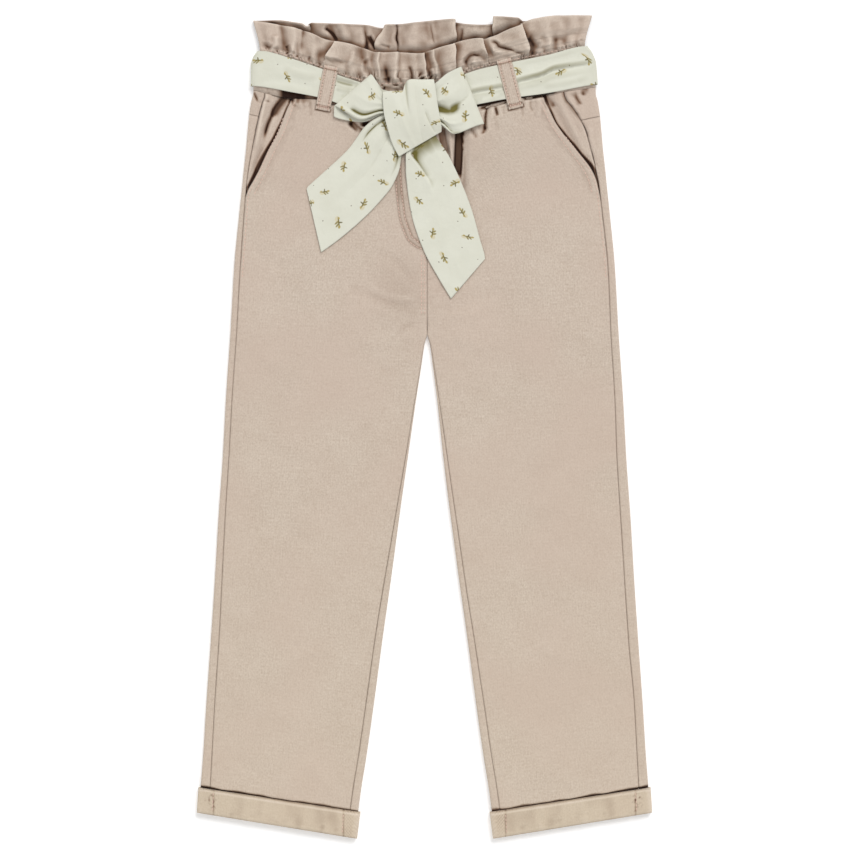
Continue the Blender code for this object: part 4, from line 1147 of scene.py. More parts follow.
def yoke(name, side, looks):
    """The shaped piece between the waistband and the back leg."""

    def row(v):
        end = below(yoke_y, -SEAM)
        edge_y, width, turn, over = hip_row(side, v, below(front_waist_y), end)
        beneath = hip_row(side, v, below(back_waist_y), end)[-1]
        keys = wrapped_keys(name, width, turn, edge_y)

        def at(u):
            path = between(keys, u)
            place = over if u < 1.5 else beneath
            x, y, height = place(path)
            relief = back_relief(x, y, height, path, keys[0], keys[-1], 31.0 + side)
            x, y, z = on_body(x, y, height)
            shade = seam_shade(keys[0] - path, y, 7.0) + 0.4 * (1 - smooth((1 - v) / 0.05))
            # painted shade in the creases at the side
            if height > 0:
                shade += 1.6 * hollow(crease_rise(BACK_SIDE_FOLDS, x, y), 0.3, 2.4)
            return x, y, z + relief * (0.3 + 0.7 * smooth((v - 0.05) / 0.2)), shade

        return at

    cloth("yoke_" + name, WRAP_COLUMNS, shares(22), row, looks.twill_wall, twill(looks), flip=side > 0)


def pocket_facing(name, side, looks):
    """The cloth behind the slanted pocket mouth, which dips under the front panel."""

    def row(v):
        bounds = (below(front_waist_y), yoke_y) if v <= 1.0 else (yoke_y, crotch_line)
        last = (yoke_y(side * WAIST_HALF) - FACING_END_Y) / (yoke_y(side * WAIST_HALF) - CROTCH_Y)
        share = v if v <= 1.0 else (v - 1.0) * last
        edge_y, _width, _turn, place = hip_row(side, share, *bounds)
        seam = path_of(outseam[name](edge_y), FOLD) + SEAM * 2
        mouth = path_of(pocket_mouth[name](edge_y), FOLD)

        def at(u):
            run = (mouth + POCKET_UNDERLAP - seam) * u
            x, y, height = place(seam + run)
            x, y, z = on_body(x, y, height)
            beneath = smooth(run / max(3.2, 0.8 * (mouth - seam)))
            sunk = FACING_SINK * max(beneath, smooth((POCKET_TOP_Y + 7.0 - y) / 6.0))
            shown = smooth(run / 2.0) * (1 - smooth((run - mouth + seam + 2.0) / 3.0))
            folds = shown * crease_rise(FACING_FOLDS, x, y)
            lowest = LOWEST_TOP - 0.2 + 1.1 * smooth((y - 244.0) / 12.0)  # the back lies beneath
            z = max(z + folds + seam_edge(run, y, 41.0 + side) - sunk, lowest)
            gap = 2.3 - 0.9 * smooth((y - 236.0) / 10.0) + 1.3 * dip(y - 210.0, 12.0)
            gap += 1.2 * (side > 0) * smooth((y - 218.0) / 10.0)  # the width of painted shade along the mouth, under the panel's edge
            # painted shade under the mouth's edge and in the facing's folds, and on the wearer's left a
            # painted shadow along the side seam near the top
            shade = seam_shade(run, y, 43.0) + 1.0 * smooth((run - mouth + seam + gap + 0.5) / 1.3)
            if side > 0:
                shade += 0.9 * smooth((y - 238.0) / 14.0) * (1 - smooth(run / 3.4))
            return x, y, z, shade + 1.2 * hollow(folds, 0.3, 4.0)

        return at

    cloth("pocket_facing_" + name, shares(34), stretches(14, 36), row, looks.twill_wall, twill(looks),
          flip=side < 0)


CUFF_SEAMS = (outer_half(HEM_OUTER_Y) - 11.6, leg_gap(HEM_INNER_Y) + 8.8)
CUFF_WORN = (148.0, 102.0, 84.0, 73.0)  # where the hem inside wears the cuff, by distance from the middle


def cuff(name, side, looks):
    """The turned-up hem: a ring outside the leg's end, which follows the leg's own section."""
    length = HEM_OUTER_Y - CROTCH_Y
    first, last = 1 + CUFF_DEPTH / length, 1 - CUFF_PAST_HEM / length  # shares of the way down the leg

    def row(v):
        _y, width, turn, place = leg_row(side, lerp(first, last, v), CUFF_RISE)
        half = half_round(width, FOLD + CUFF_RISE, turn)
        fold = (FOLD + CUFF_RISE) * QUARTER
        keys = (fold, half - fold, half + fold, 2 * half - fold, 2 * half + fold)
        edge = 0.5 * (1 - smooth(v * CUFF_DEPTH / 1.0)) + 0.8 * (1 - smooth((1 - v) * CUFF_DEPTH / 1.6))

        def at(u):
            path = between(keys, u) % (2 * half)
            x, y, height = place(path if path <= half else path - 2 * half)
            x, y, z = on_body(x, y, height, CUFF_RISE, CUFF_RISE)
            folds = crease_rise(CUFF_FOLDS, x, y)
            relief = folds + 0.16 * unevenness(x, y, 7.0, 51.0) - edge
            # painted shade in hollow folds and painted highlight on raised ones, with random tone
            shade = 0.02 - 0.16 * folds + 0.16 * unevenness(x, y * 0.5, 8.0, 52.0)
            for seam_x in CUFF_SEAMS:
                relief -= 0.5 * dip(abs(x) - seam_x, 0.8)
                shade += 0.22 * dip(abs(x) - seam_x, 1.1)
            tack = dip(abs(x) - CUFF_SEAMS[0] - 0.8, 4.0) * dip(v - 0.42, 0.36)
            shade += 1.3 * max(unevenness(x, y, 1.8, 53.0), 0.0) * tack
            beyond = smooth((CUFF_SEAMS[1] - abs(x) - 0.6) / 1.0)
            shade += 0.26 * beyond * sin(2 * pi * x / 2.2) * sin(2 * pi * y / 2.8)
            shade += 0.08 * max(dip(abs(x) - worn_x, 4.6) for worn_x in CUFF_WORN)
            return x, y, z + (relief if height > 0 else edge) * abs(height), shade * smooth(height + 0.5)

        return at

    cloth("cuff_" + name, stretches(200, 12, 56, 12), shares(24), row, looks.cuff_wall,
          twill(looks, "Washed twill, hems", 0.3), flip=side < 0, ring=True)


# ---- Waistband and frill ----
KNIFE_RUN = 2.5  # a hollow pleat narrower than this is knife-edged
HOLLOW_REACH = 2.2  # its shade reaches this many of its runs
LEANING = 1.5  # a crest that leans more than this casts shade
SHADOW_RUN = 9.0


def pleats(folds, x, share):
    """What the pleats add at x, at a share of the way up: height, sideways lean, and cast shade."""
    rise = lean = cast = 0.0
    for number, pleat in enumerate(folds):
        wander = 1.3 * unevenness(number * 7.0, share * 16.0, 10.0, 63.0)
        away = x - lerp(pleat.base, pleat.top, share) - wander
        run = pleat.left if away < 0 else pleat.right
        reach = abs(away) / run
        uneven = unevenness(number * 9.0, share * 14.0, 8.0, 64.0)
        if pleat.rise < 0 and reach < HOLLOW_REACH:
            fade = min(max(0.75 + 1.5 * uneven, 0.1), 1.2) * lerp(1.1, 0.8, share)
            if run < KNIFE_RUN:
                rise += 1.3 * pleat.rise * fade * max(1 - reach, 0.0) ** 1.5
            else:
                rise += 1.1 * pleat.rise * fade * (1 - smooth(reach / 1.4))
            cast -= 0.06 * pleat.rise * fade * (1 - smooth(reach / HOLLOW_REACH))
        elif pleat.rise > 0:
            fade = lerp(0.55, 1.0, smooth(share / 0.4)) * (1 + 0.5 * uneven)
            if reach < 1:
                rise += 1.15 * pleat.rise * fade * (1 - smooth(reach))
                lean += pleat.lean * fade * (1 - smooth(reach))
            past = away - run if pleat.lean > 0 else -away - run
            if abs(pleat.lean) > LEANING and -1.2 < past < SHADOW_RUN:
                cast += 0.42 * smooth((past + 1.2) / 1.2) * (1 - smooth(past / SHADOW_RUN)) * (1 + uneven)
    return rise, lean, cast


def gathers(x, share):
    """The pillowy puckers that the elastic and its stitching pull into the base of the frill."""
    middle = 1 - smooth((abs(x + 14.0) - 26.0) / 10.0)  # wide over the knot, small to its sides
    row = floor(share * 27.0 / lerp(2.0, 6.0, middle))
    phase = x / lerp(2.9, 5.2, middle) + 0.9 * sin(x / 9.0)
    phase += 1.7 * unevenness(x, share * 9.0, 6.0, 61.0)
    phase += 0.37 * row
    fine = abs(sin(pi * phase)) ** 0.6 - 0.62
    size = max(0.7 + 1.6 * unevenness(x, share * 12.0, 5.0, 62.0), 0.1)
    wide = sin(2 * pi * x / 9.7 + 1.7 * sin(x / 17.0) + 2.0 * share)
    end, fading = lerp(0.1, 0.2, middle), lerp(0.12, 0.3, middle)
    band = smooth((share + 0.3 * middle) / 0.03) * (1 - smooth((share - end) / fading))
    small = lerp(2.4, 3.4, middle) * size * fine * band
    return small + 0.9 * wide * smooth(share / 0.12) * (1 - smooth(share / 0.7))


def free_of_loops(x, y):
    """0 where a front belt loop holds the frill down, 1 clear of it."""
    free = 1.0
    for place in FRONT_LOOPS:
        ends = (place.bottom_x, place.bottom_y, place.top_x, place.top_y)
        share, distance = near_segment(x, y, *ends)
        run = hypot(ends[2] - ends[0], ends[3] - ends[1])
        past = max((share - 1) * run, 0.0)
        free = min(free, smooth((max(abs(distance) - LOOP_WIDTH / 2, past) - 1.0) / 6.0))
    return free


CORNER_RUN = 8.0


def clear_of_corners(x, left, right):
    """0 at the side folds, 1 clear of them."""
    return smooth((x - left) / CORNER_RUN) * smooth((right - x) / CORNER_RUN)


def warped(x, y):
    """The place at which the frill's pleats are read, so that their lines waver."""
    return x + 1.5 * unevenness(x * 0.7, y, 9.0, 66.0), y + 1.6 * unevenness(x, y, 6.0, 67.0)


def front_skin(x, y, station, inside):
    """Height, sideways lean and shade of the waistband's front: casing from 0 to 1, frill from 1 to 2."""
    share = max(station - 1, 0.0)
    warped_x, warped_y = warped(x, y)
    rise, lean, cast = pleats(FRONT_PLEATS, warped_x, share)
    folds = 1.2 * crease_rise(FRONT_FRILL_FOLDS, warped_x, warped_y)
    rise += folds + 0.5 * unevenness(x, y * 0.5, 5.0, 71.0)
    free = free_of_loops(x, y)
    frilled = smooth(share / 0.25) * inside * free
    puckers = gathers(x, station - 1) * inside * smooth(lerp(0.3, 1.0, free))
    beside = smooth((-110.0 - x) / 11.0) + smooth((x - 101.0) / 6.0)  # 1 where a strip shows below the sash
    low_strip = 1 - smooth((station - 0.3) / 0.2)
    high = lerp(body_top(y), FRILL_BASE, smooth(share / 0.3)) + loop_lift(x, y) * smooth(share / 0.2)
    high -= 1.3 * smooth((1.0 - station) / 0.1) * (1 - beside * low_strip)  # the tied sash presses it in
    high += 0.9 * unevenness(x, y, 3.0, 72.0) * beside * low_strip
    outer = min(max(high + frilled * rise + puckers, FRILL_LOWEST), FRILL_HIGHEST)
    # painted highlight along the free edge, painted shade in hollows and between puckers, painted highlight
    # on the puckers, painted shade at the foot of the frill, random tone, and painted cast shadow
    shade = 0.09 - 0.3 * smooth((share - 0.95) / 0.03) + 0.36 * hollow(rise * frilled, 0.4, 6.0)
    shade += 0.17 * max(-puckers, 0.0) - 0.12 * max(puckers, 0.0) + 0.2 * (1 - smooth(share / 0.06))
    shade += 0.25 * unevenness(x, y, 7.0, 75.0) + cast - 0.05 * smooth((-80.0 - x) / 30.0)
    # painted shade on the casing where it shows below the sash, with the side strips made lighter
    sunk = lerp(0.85 - 0.6 * smooth((x + 104.0) / 16.0) * (x < 0), 0.0, beside)
    shade += sunk * (1 - smooth((station - 0.5) / 0.2)) - 0.2 * beside * low_strip
    return outer, lean * frilled, shade


def back_skin(x, y, station, inside):
    """The same for the back, which shows only above the front's free edge."""
    share = max(station - 1, 0.0)
    warped_x, warped_y = warped(x, y)
    rise, lean, cast = pleats(BACK_PLEATS, warped_x, share)
    folds = 1.3 * crease_rise(BACK_FRILL_FOLDS, warped_x, warped_y)
    rise += folds + 0.5 * unevenness(x, y * 0.5, 5.0, 73.0)
    frilled = smooth(share / 0.25) * inside
    above = y - front_frill_y(x)
    shown = smooth(above / 7.0)
    outer = underside(x, y) + frilled * max((rise + 1.6) * shown + BACK_FRILL_RISE, 0.0)
    # darker both as the back's inner face and as painted shade; painted shadow just above the front's free
    # edge, painted highlight along its own free edge, painted shade in hollows, random tone and painted cast
    # shadow
    shade = 0.22 + 0.5 * (1 - smooth(above / 5.0)) - 0.2 * smooth((share - 0.95) / 0.03)
    shade += 0.8 * hollow(rise, 0.4, 5.0) + 0.3 * unevenness(x, y, 7.0, 76.0) + cast * shown
    return outer, lean * shown * frilled, shade


WaistbandHalf = namedtuple("WaistbandHalf", "name seam_y casing_y free_y skin up")
WAISTBAND_HALVES = (
    WaistbandHalf("waistband_front", front_waist_y, front_casing_y, front_frill_y, front_skin, 1),
    WaistbandHalf("waistband_back", back_waist_y, back_casing_y, back_frill_y, back_skin, -1),
)


def waistband_row(side, station):
    """A row of one waistband half: casing from 0 to 1, frill from 1 to 2. Its ends lie on the side folds."""
    left, right = waistband_left(station), waistband_right(station)
    width = right - left
    half = width + (2 * QUARTER - 2) * WAIST_FOLD
    rounding = WAIST_FOLD * QUARTER
    keys = (SEAM, rounding, half - rounding, half - SEAM)
    share = max(station - 1, 0.0)
    middle = lerp(*WAISTBAND_MIDDLE, smooth(share))
    rolled = 0.5 * smooth((share - 0.93) / 0.07)  # the free edge is a fold

    def at(along):
        across, height = section(width, WAIST_FOLD, QUARTER, between(keys, along))
        x = left + across
        if station <= 1:
            y = lerp(side.seam_y(x) + SEAM, side.casing_y(x), station)
        else:
            y = lerp(side.casing_y(x), side.free_y(x), share)
        outer, lean, shade = side.skin(x, y, station, clear_of_corners(x, left, right))
        return x + lean, y, lerp(middle, outer - side.up * rolled, height), shade

    return at


# Close together where the casing shows below the frill, and up the frill
FRILL_ROWS = [0.0, 0.3, 0.6] + [0.68 + 0.03 * i for i in range(10)] + [1.0 + share for share in shares(34)]


def waistband(side, looks):
    """The front or the back of the waistband: its casing and its frill in one piece."""
    under = side.up < 0
    cloth(side.name, stretches(8, 420, 8), FRILL_ROWS, lambda v: waistband_row(side, v), looks.twill_wall,
          twill(looks), flip=under, inside_out=under, billows=True)


# ---- Sash round the waist ----
def sash_edge(share, side):
    """x of the sash's folded side at a share of the way down from its top edge."""
    return sash_left(1 - share) if side < 0 else sash_right(1 - share)


SASH_DEEPEST = -1.7  # a deeper fold would reach the casing


def sash_relief(x, y):
    """Folds of the sash's front."""
    relief = crease_rise(SASH_FOLDS, x, y) + 0.14 * unevenness(x * 0.6, y, 7.0, 81.0)
    under = sash_fold_y(x) - y
    starts, ends = SASH_FOLD_LINE[0].x, SASH_FOLD_LINE[-1].x
    if starts < x < ends:
        depth = sash_fold_depth(x) * smooth((x - starts) / 6.0) * smooth((ends - x) / 6.0)
        relief -= depth * smooth((under + 0.3) / 0.7) * (1 - smooth((under - 0.5) / 7.0))
        relief += 0.5 * depth * dip(under + 1.8, 2.0)
    return relief


def sash_row(share):
    """A row of the sash, all the way round from one end under the knot to the other."""
    left, right = sash_edge(share, -1), sash_edge(share, 1)
    rounding = SASH_FOLD * QUARTER
    reach_r, reach_l = SASH_MEETS["R"] - left, right - SASH_MEETS["L"]
    straight_r, straight_l = reach_r - SASH_FOLD, reach_l - SASH_FOLD
    width = right - left
    back = width + (QUARTER * 2 - 2) * SASH_FOLD

    def front(side, run):
        edge_x = left if side < 0 else right
        across, height = section(width * 2, SASH_FOLD, QUARTER, run)
        x = edge_x - side * across
        y = lerp(sash_top_y(x), sash_bottom_y(x), share)
        relief = sash_relief(x, y)
        top = body_top(y) + SASH_RISE + max(relief, SASH_DEEPEST) * smooth(height)
        # painted shade in the sash's folds
        return x, y, lerp(0.0, top, (height + 1) / 2), 0.08 + hollow(relief, 0.2, 3.4)

    def behind(run):
        across, height = section(width, SASH_FOLD, QUARTER, run)
        x = left + across
        level = smooth((abs(x) - 118.0) / 16.0)
        top = lerp(back_casing_y(x), sash_top_y(x), level)
        bottom = lerp(back_waist_y(x), sash_bottom_y(x), level)
        y = lerp(top, bottom, share)
        return x, y, lerp((body_top(y) + SASH_RISE) / 2, loop_lift(x, y), height)

    keys = (
        0.0, straight_r, straight_r + rounding, straight_r + rounding + back,
        straight_r + 2 * rounding + back, straight_r + straight_l + 2 * rounding + back,
    )

    def at(u):
        run = between(keys, u)
        if run <= keys[2]:
            return front(-1, keys[2] - run)
        if run <= keys[3]:
            return behind(run - keys[2])
        return front(1, run - keys[3])

    return at


def waist_sash(looks):
    """The sash all round the waist, in one piece."""
    columns = stretches(60, 8, 110, 8, 72)
    cloth("sash_round_waist", columns, shares(34), sash_row, looks.sash_wall, sash_cotton(looks),
          nodes=["sash_front_R", "sash_front_L", "sash_back"], flip=True)


# ---- Ribbons: bow loops, knot and tails ----
DEEPEST_FOLD = -3.2  # a deeper one would reach the layer beneath


def fold_rise(folds, across, down):
    """What the folds of a ribbon add to its height."""
    total = 0.0
    for fold in folds:
        share = (down - fold.down1) / (fold.down2 - fold.down1)
        if -0.2 < share < 1.2:
            held = min(max(share, 0.0), 1.0)
            away = across - lerp(fold.across1, fold.across2, held)
            reach = abs(away) / (fold.near if away < 0 else fold.far)
            if reach < 1:
                ends = smooth((share + 0.2) * 4) * smooth((1.2 - share) * 4)
                total += lerp(fold.rise1, fold.rise2, held) * ends * (1 - reach) ** 1.25
    return total


def ribbon(name, rows, folds, across, down, looks, flip=True, height_at=None, shift=None,
           covered=None):
    """A strip of sash through its sections: u from edge a to edge b, v from the first section to the last.

    Its grid has `across` faces from edge to edge and `down` faces along it.
    """
    fields = [curve(list(enumerate(getattr(row, field) for row in rows))) for field in Section._fields]
    stations = [at * (len(rows) - 1) / down for at in range(down + 1)]

    def row(v):
        ax, ay, bx, by, z, crown = (field(v) for field in fields)

        def at(u):
            x, y = lerp(ax, bx, u), lerp(ay, by, u)
            if shift:
                y += shift(u, v)
            rise = fold_rise(folds, u, v)
            height = z + crown * 4 * u * (1 - u) + max(rise, DEEPEST_FOLD)
            height += 0.12 * unevenness(x, y, 6.0, 91.0)
            if height_at:
                height += height_at(x, y)
            # painted shade in the folds, and painted shadow where another part lies over the ribbon
            shade = hollow(rise, 0.5, 4.0)
            if covered:
                shade += covered(u, v)
            return x, y, height, shade

        return at

    cloth(name, shares(across), stations, row, looks.sash_wall, sash_cotton(looks), flip=flip,
          billows=True)


def on_front(x, y):
    """Height of a sash end that lies on the front panels."""
    return body_top(y) + max(crease_rise(TAIL_BED, x, y), 0.0) + SASH_RISE


knot_shift = curve(KNOT_TOP)


def knot_top(u, v):
    """How far the knot's lobes reach above or below the line of its top."""
    return knot_shift(u) * (1 - smooth((v - 0.4) / 2.2))


def right_tail_shade(u, v):
    """Shade on the right tail where it comes out from under the knot, and down its inner edge."""
    inner_edge = 0.4 * smooth((u - 0.7) / 0.25) * (1 - smooth((v - 1.2) / 1.4))
    return 0.3 * (1 - smooth((v - 0.3) / 0.6)) + inner_edge


def left_tail_shade(u, v):
    """Shade on the left tail where it comes out from under the knot."""
    return 0.8 * smooth((u - 0.16) / 0.1) * (1 - smooth((v - 0.9 + 0.4 * u) / 1.2))


TAIL_SHADES = {"R": right_tail_shade, "L": left_tail_shade}


def bow(looks):
    """The bow's two loops, its knot and both tails."""
    for name, side in SIDES.items():
        ribbon("bow_loop_" + name, BOW_LOOPS[name], BOW_FOLDS[name], 44, 110, looks, flip=side < 0)
        ribbon("sash_tail_" + name, TAILS[name], TAIL_FOLDS[name], 48, 90, looks, height_at=on_front,
               covered=TAIL_SHADES[name])
    ribbon("bow_knot", KNOT, KNOT_FOLDS, 72, 64, looks, shift=knot_top)


# ---- Belt loops ----
BAR_INSET = 2.4  # from the end of a belt loop to the bar of stitches that holds it


def belt_loop(place, height_at, looks, flip_over=False):
    """A folded strip with a stitched edge on each side."""
    run = hypot(place.bottom_x - place.top_x, place.bottom_y - place.top_y)
    along_x, along_y = (place.bottom_x - place.top_x) / run, (place.bottom_y - place.top_y) / run

    def row(v):
        def at(u):
            off = (u - 0.5) * LOOP_WIDTH
            x = lerp(place.top_x, place.bottom_x, v) - along_y * off
            y = lerp(place.top_y, place.bottom_y, v) + along_x * off
            edge = LOOP_WIDTH / 2 - abs(off)
            ends = min(v, 1 - v) * run
            relief = 0.5 * (1 - smooth(edge / 0.7)) + 0.22 * dip(edge - 1.9, 0.5)
            relief += 0.35 * (1 - smooth(ends / 0.8))
            relief += 0.25 * dip(ends - BAR_INSET, 0.6) - 0.1 * unevenness(x, y, 3.0, 95.0)
            dots = 0.5 + 0.5 * sin(2 * pi * v * run / 2.1)
            shade = 0.03 + (0.1 + 0.34 * dots) * dip(edge - 2.0, 1.0) + 0.1 * sin(2 * pi * off / 1.6)
            # the dark line of the bar tack, and painted shade along the loop's edges and ends
            bar_line_and_edge_shade = 0.6 * dip(ends - 3.5, 0.7) + 0.3 * (1 - smooth(edge / 0.9))
            shade += bar_line_and_edge_shade + 0.25 * (1 - smooth(ends / 0.8))
            return x, y, height_at(v) + (relief if flip_over else -relief), shade

        return at

    cloth(place.name, shares(30), shares(120), row, looks.loop_wall, twill(looks), flip=not flip_over)


# ---- Stitching ----
def along_line(points):
    """A function that gives the place and heading at a distance along a line of points, and its length."""
    runs = [0.0]
    for (x1, y1), (x2, y2) in zip(points, points[1:]):
        runs.append(runs[-1] + hypot(x2 - x1, y2 - y1))

    def read(distance):
        i = min(max(bisect_right(runs, distance) - 1, 0), len(points) - 2)
        (x1, y1), (x2, y2) = points[i], points[i + 1]
        share = (distance - runs[i]) / (runs[i + 1] - runs[i])
        return lerp(x1, x2, share), lerp(y1, y2, share), atan2(y2 - y1, x2 - x1)

    return read, runs[-1]


# One stitch: share of its length, and rise in radii of the thread
STITCH_SHAPE = ((-0.5, -1.6), (-0.38, 0.0), (0.0, 0.5), (0.38, 0.0), (0.5, -1.6))
THREAD_SIDES = 6
CAST_FROM = 0.05  # how far outside the part the rays that find its surface start, in metres


class Stitches:
    """Rows of sewing thread on finished pieces, gathered into one mesh.

    Each row is one thread, which shows along each stitch and dips into the cloth between two of them.
    """

    def __init__(self, looks):
        self.looks = looks
        self.whole = bmesh.new()

    def row(self, surfaces, points, from_below=False, length=None, step=None):
        """Lays a row along a line, on the outermost of the surfaces."""
        length = (length or self.looks.stitch_length) / MM
        step = (step or self.looks.stitch_step) / MM
        read, run = along_line(points)
        up = -1.0 if from_below else 1.0
        rings = []
        for stitch in range(int(run / step)):
            centre = (stitch + 0.5) * step
            for share, rise in STITCH_SHAPE:
                x, y, heading = read(centre + share * length)
                start = Vector((x * MM, y * MM, up * CAST_FROM))
                hits = [surface.ray_cast(start, Vector((0.0, 0.0, -up))) for surface in surfaces]
                hits = [hit for hit in hits if hit[0] is not None]
                if hits:
                    spot, normal, _face, _distance = min(hits, key=lambda hit: hit[3])
                    rings.append(self.ring(spot, normal if normal.z * up > 0 else -normal, heading, rise))
        if len(rings) > len(STITCH_SHAPE):
            self.thread(rings)

    def ring(self, spot, normal, heading, rise):
        """Points round the thread at one place."""
        ahead = Vector((cos(heading), sin(heading), 0.0))
        side = normal.cross((ahead - normal * ahead.dot(normal)).normalized())
        radius = self.looks.thread_radius
        middle = spot + normal * radius * rise
        turns = [2 * pi * i / THREAD_SIDES for i in range(THREAD_SIDES + 1)]
        return [middle + (side * cos(turn) + normal * sin(turn)) * radius for turn in turns]

    def thread(self, rings):
        """Adds a thread through its rings of points."""
        tube = bmesh.new()
        bmesh.ops.create_grid(tube, x_segments=THREAD_SIDES, y_segments=len(rings) - 1, size=0.5)
        tube.verts.ensure_lookup_table()
        for vertex in tube.verts:
            line, place = divmod(vertex.index, THREAD_SIDES + 1)
            vertex.co = rings[line][place]
        bmesh.ops.remove_doubles(tube, verts=tube.verts, dist=0.001 * MM)
        mesh = bpy.data.meshes.new("row")
        tube.to_mesh(mesh)
        tube.free()
        self.whole.from_mesh(mesh)
        bpy.data.meshes.remove(mesh)

    def finish(self, name):
        """Makes the one piece of all rows."""
        for face in self.whole.faces:
            face.smooth = True
        bmesh.ops.recalc_face_normals(self.whole, faces=self.whole.faces)
        made_piece(name, self.whole, thread_finish(self.looks))


def surface_of(*names):
    """Ray-cast trees of finished pieces."""
    depsgraph = bpy.context.evaluated_depsgraph_get()
    return [BVHTree.FromObject(bpy.data.objects[name + NAME_END], depsgraph) for name in names]


def heights(start, end, step=4.0):
    """Even places from start to end, about a step apart."""
    count = max(int(abs(start - end) / step), 2)
    return [lerp(start, end, i / count) for i in range(count + 1)]


def offset_line(points, offset):
    """The same line, moved sideways."""
    moved = []
    for index, (x, y) in enumerate(points):
        before, after = points[max(index - 1, 0)], points[min(index + 1, len(points) - 1)]
        dx, dy = after[0] - before[0], after[1] - before[1]
        run = hypot(dx, dy)
        moved.append((x - dy / run * offset, y + dx / run * offset))
    return moved


MOUTH_ROWS = (1.7, 6.0)  # insets of the two rows along a pocket mouth
SIDE_SEAM_INSET = 2.2
YOKE_ROWS = (-1.8, -6.6)
CENTRE_ROWS = (2.0, 4.6)
HEM_INNER_X = 56.0
HEM_RUN = 124.0  # across, from the inner end of a hem to its outer one
LOOP_ROW = 4.1  # from the middle of a belt loop to each of its rows
BAR_HALF = 4.6
BAR_STITCH = 0.0012
BAR_STEP = 0.0013


def stitch_leg(threads, name, side):
    """Rows on one leg: pocket mouth, side seam, back yoke, centre back and cuff seams."""
    front = surface_of("front_leg_" + name)
    back = surface_of("back_leg_" + name)
    mouth = [(side * (outer_half(y) - pocket_mouth[name](y)), y) for y in heights(262.0, 188.0)]
    for inset in MOUTH_ROWS:
        threads.row(front, offset_line(mouth, side * -inset))
    levels = heights(188.0, 118.0)
    threads.row(front, [(side * (outer_half(y) - outseam[name](y) - SIDE_SEAM_INSET), y) for y in levels])
    yoke_line = [(side * x, yoke_y(side * x)) for x in heights(4.0, 134.0)]
    for drop in YOKE_ROWS:
        threads.row(back, [(x, y + drop) for x, y in yoke_line], from_below=True)
    threads.row(back, [(side * 2.4 + 1.8, y) for y in heights(204.0, 96.0)], from_below=True)
    cuffs = surface_of("cuff_" + name)
    for seam_x in CUFF_SEAMS:
        hem_y = lerp(HEM_INNER_Y, HEM_OUTER_Y, (seam_x - HEM_INNER_X) / HEM_RUN)
        upper, lower = (side * seam_x, hem_y + CUFF_DEPTH - 2.0), (side * (seam_x + 1.0), hem_y + 2.0)
        threads.row(cuffs, [upper, lower])


def stitch_middle(threads):
    """Rows beside the mock fly and the centre front, and along the top of the casing."""
    panel = surface_of("front_leg_R")
    fly = list(reversed([(fly_x(y), y) for y in heights(143.4, 236.0, 3.0)])) + [(-4.0, 141.8), (0.6, 141.2)]
    for inset in FLY_ROWS:
        threads.row(panel, offset_line(fly, inset))
    for inset in CENTRE_ROWS:
        threads.row(panel, [(centre_x(y) - inset, y) for y in heights(FLY_FOOT_Y, 88.0)])
    casing_line = [(x, front_casing_y(x) + 1.6) for x in heights(-124.0, 122.0)]
    threads.row(surface_of("waistband_front"), casing_line)


def stitch_loop(threads, place, hidden):
    """Rows down both edges of a belt loop, and the bars that hold its ends."""
    strip = surface_of(place.name)
    ends = [(place.top_x, place.top_y), (place.bottom_x, place.bottom_y)]
    run = hypot(ends[1][0] - ends[0][0], ends[1][1] - ends[0][1])
    along_x, along_y = (ends[1][0] - ends[0][0]) / run, (ends[1][1] - ends[0][1]) / run
    for off in (-LOOP_ROW, LOOP_ROW):
        threads.row(strip, offset_line(ends, off), from_below=hidden)
    for down in (BAR_INSET, run - BAR_INSET, run - BAR_INSET - 1.0):
        x, y = place.top_x + along_x * down, place.top_y + along_y * down
        bar = [(x - along_y * half, y + along_x * half) for half in (BAR_HALF, -BAR_HALF)]
        threads.row(strip, bar, from_below=hidden, length=BAR_STITCH, step=BAR_STEP)


def stitching(looks):
    """All rows of stitches, as one piece."""
    threads = Stitches(looks)
    for name, side in SIDES.items():
        stitch_leg(threads, name, side)
    stitch_middle(threads)
    for place in FRONT_LOOPS + BACK_LOOPS:
        stitch_loop(threads, place, place in BACK_LOOPS)
    threads.finish("stitching")


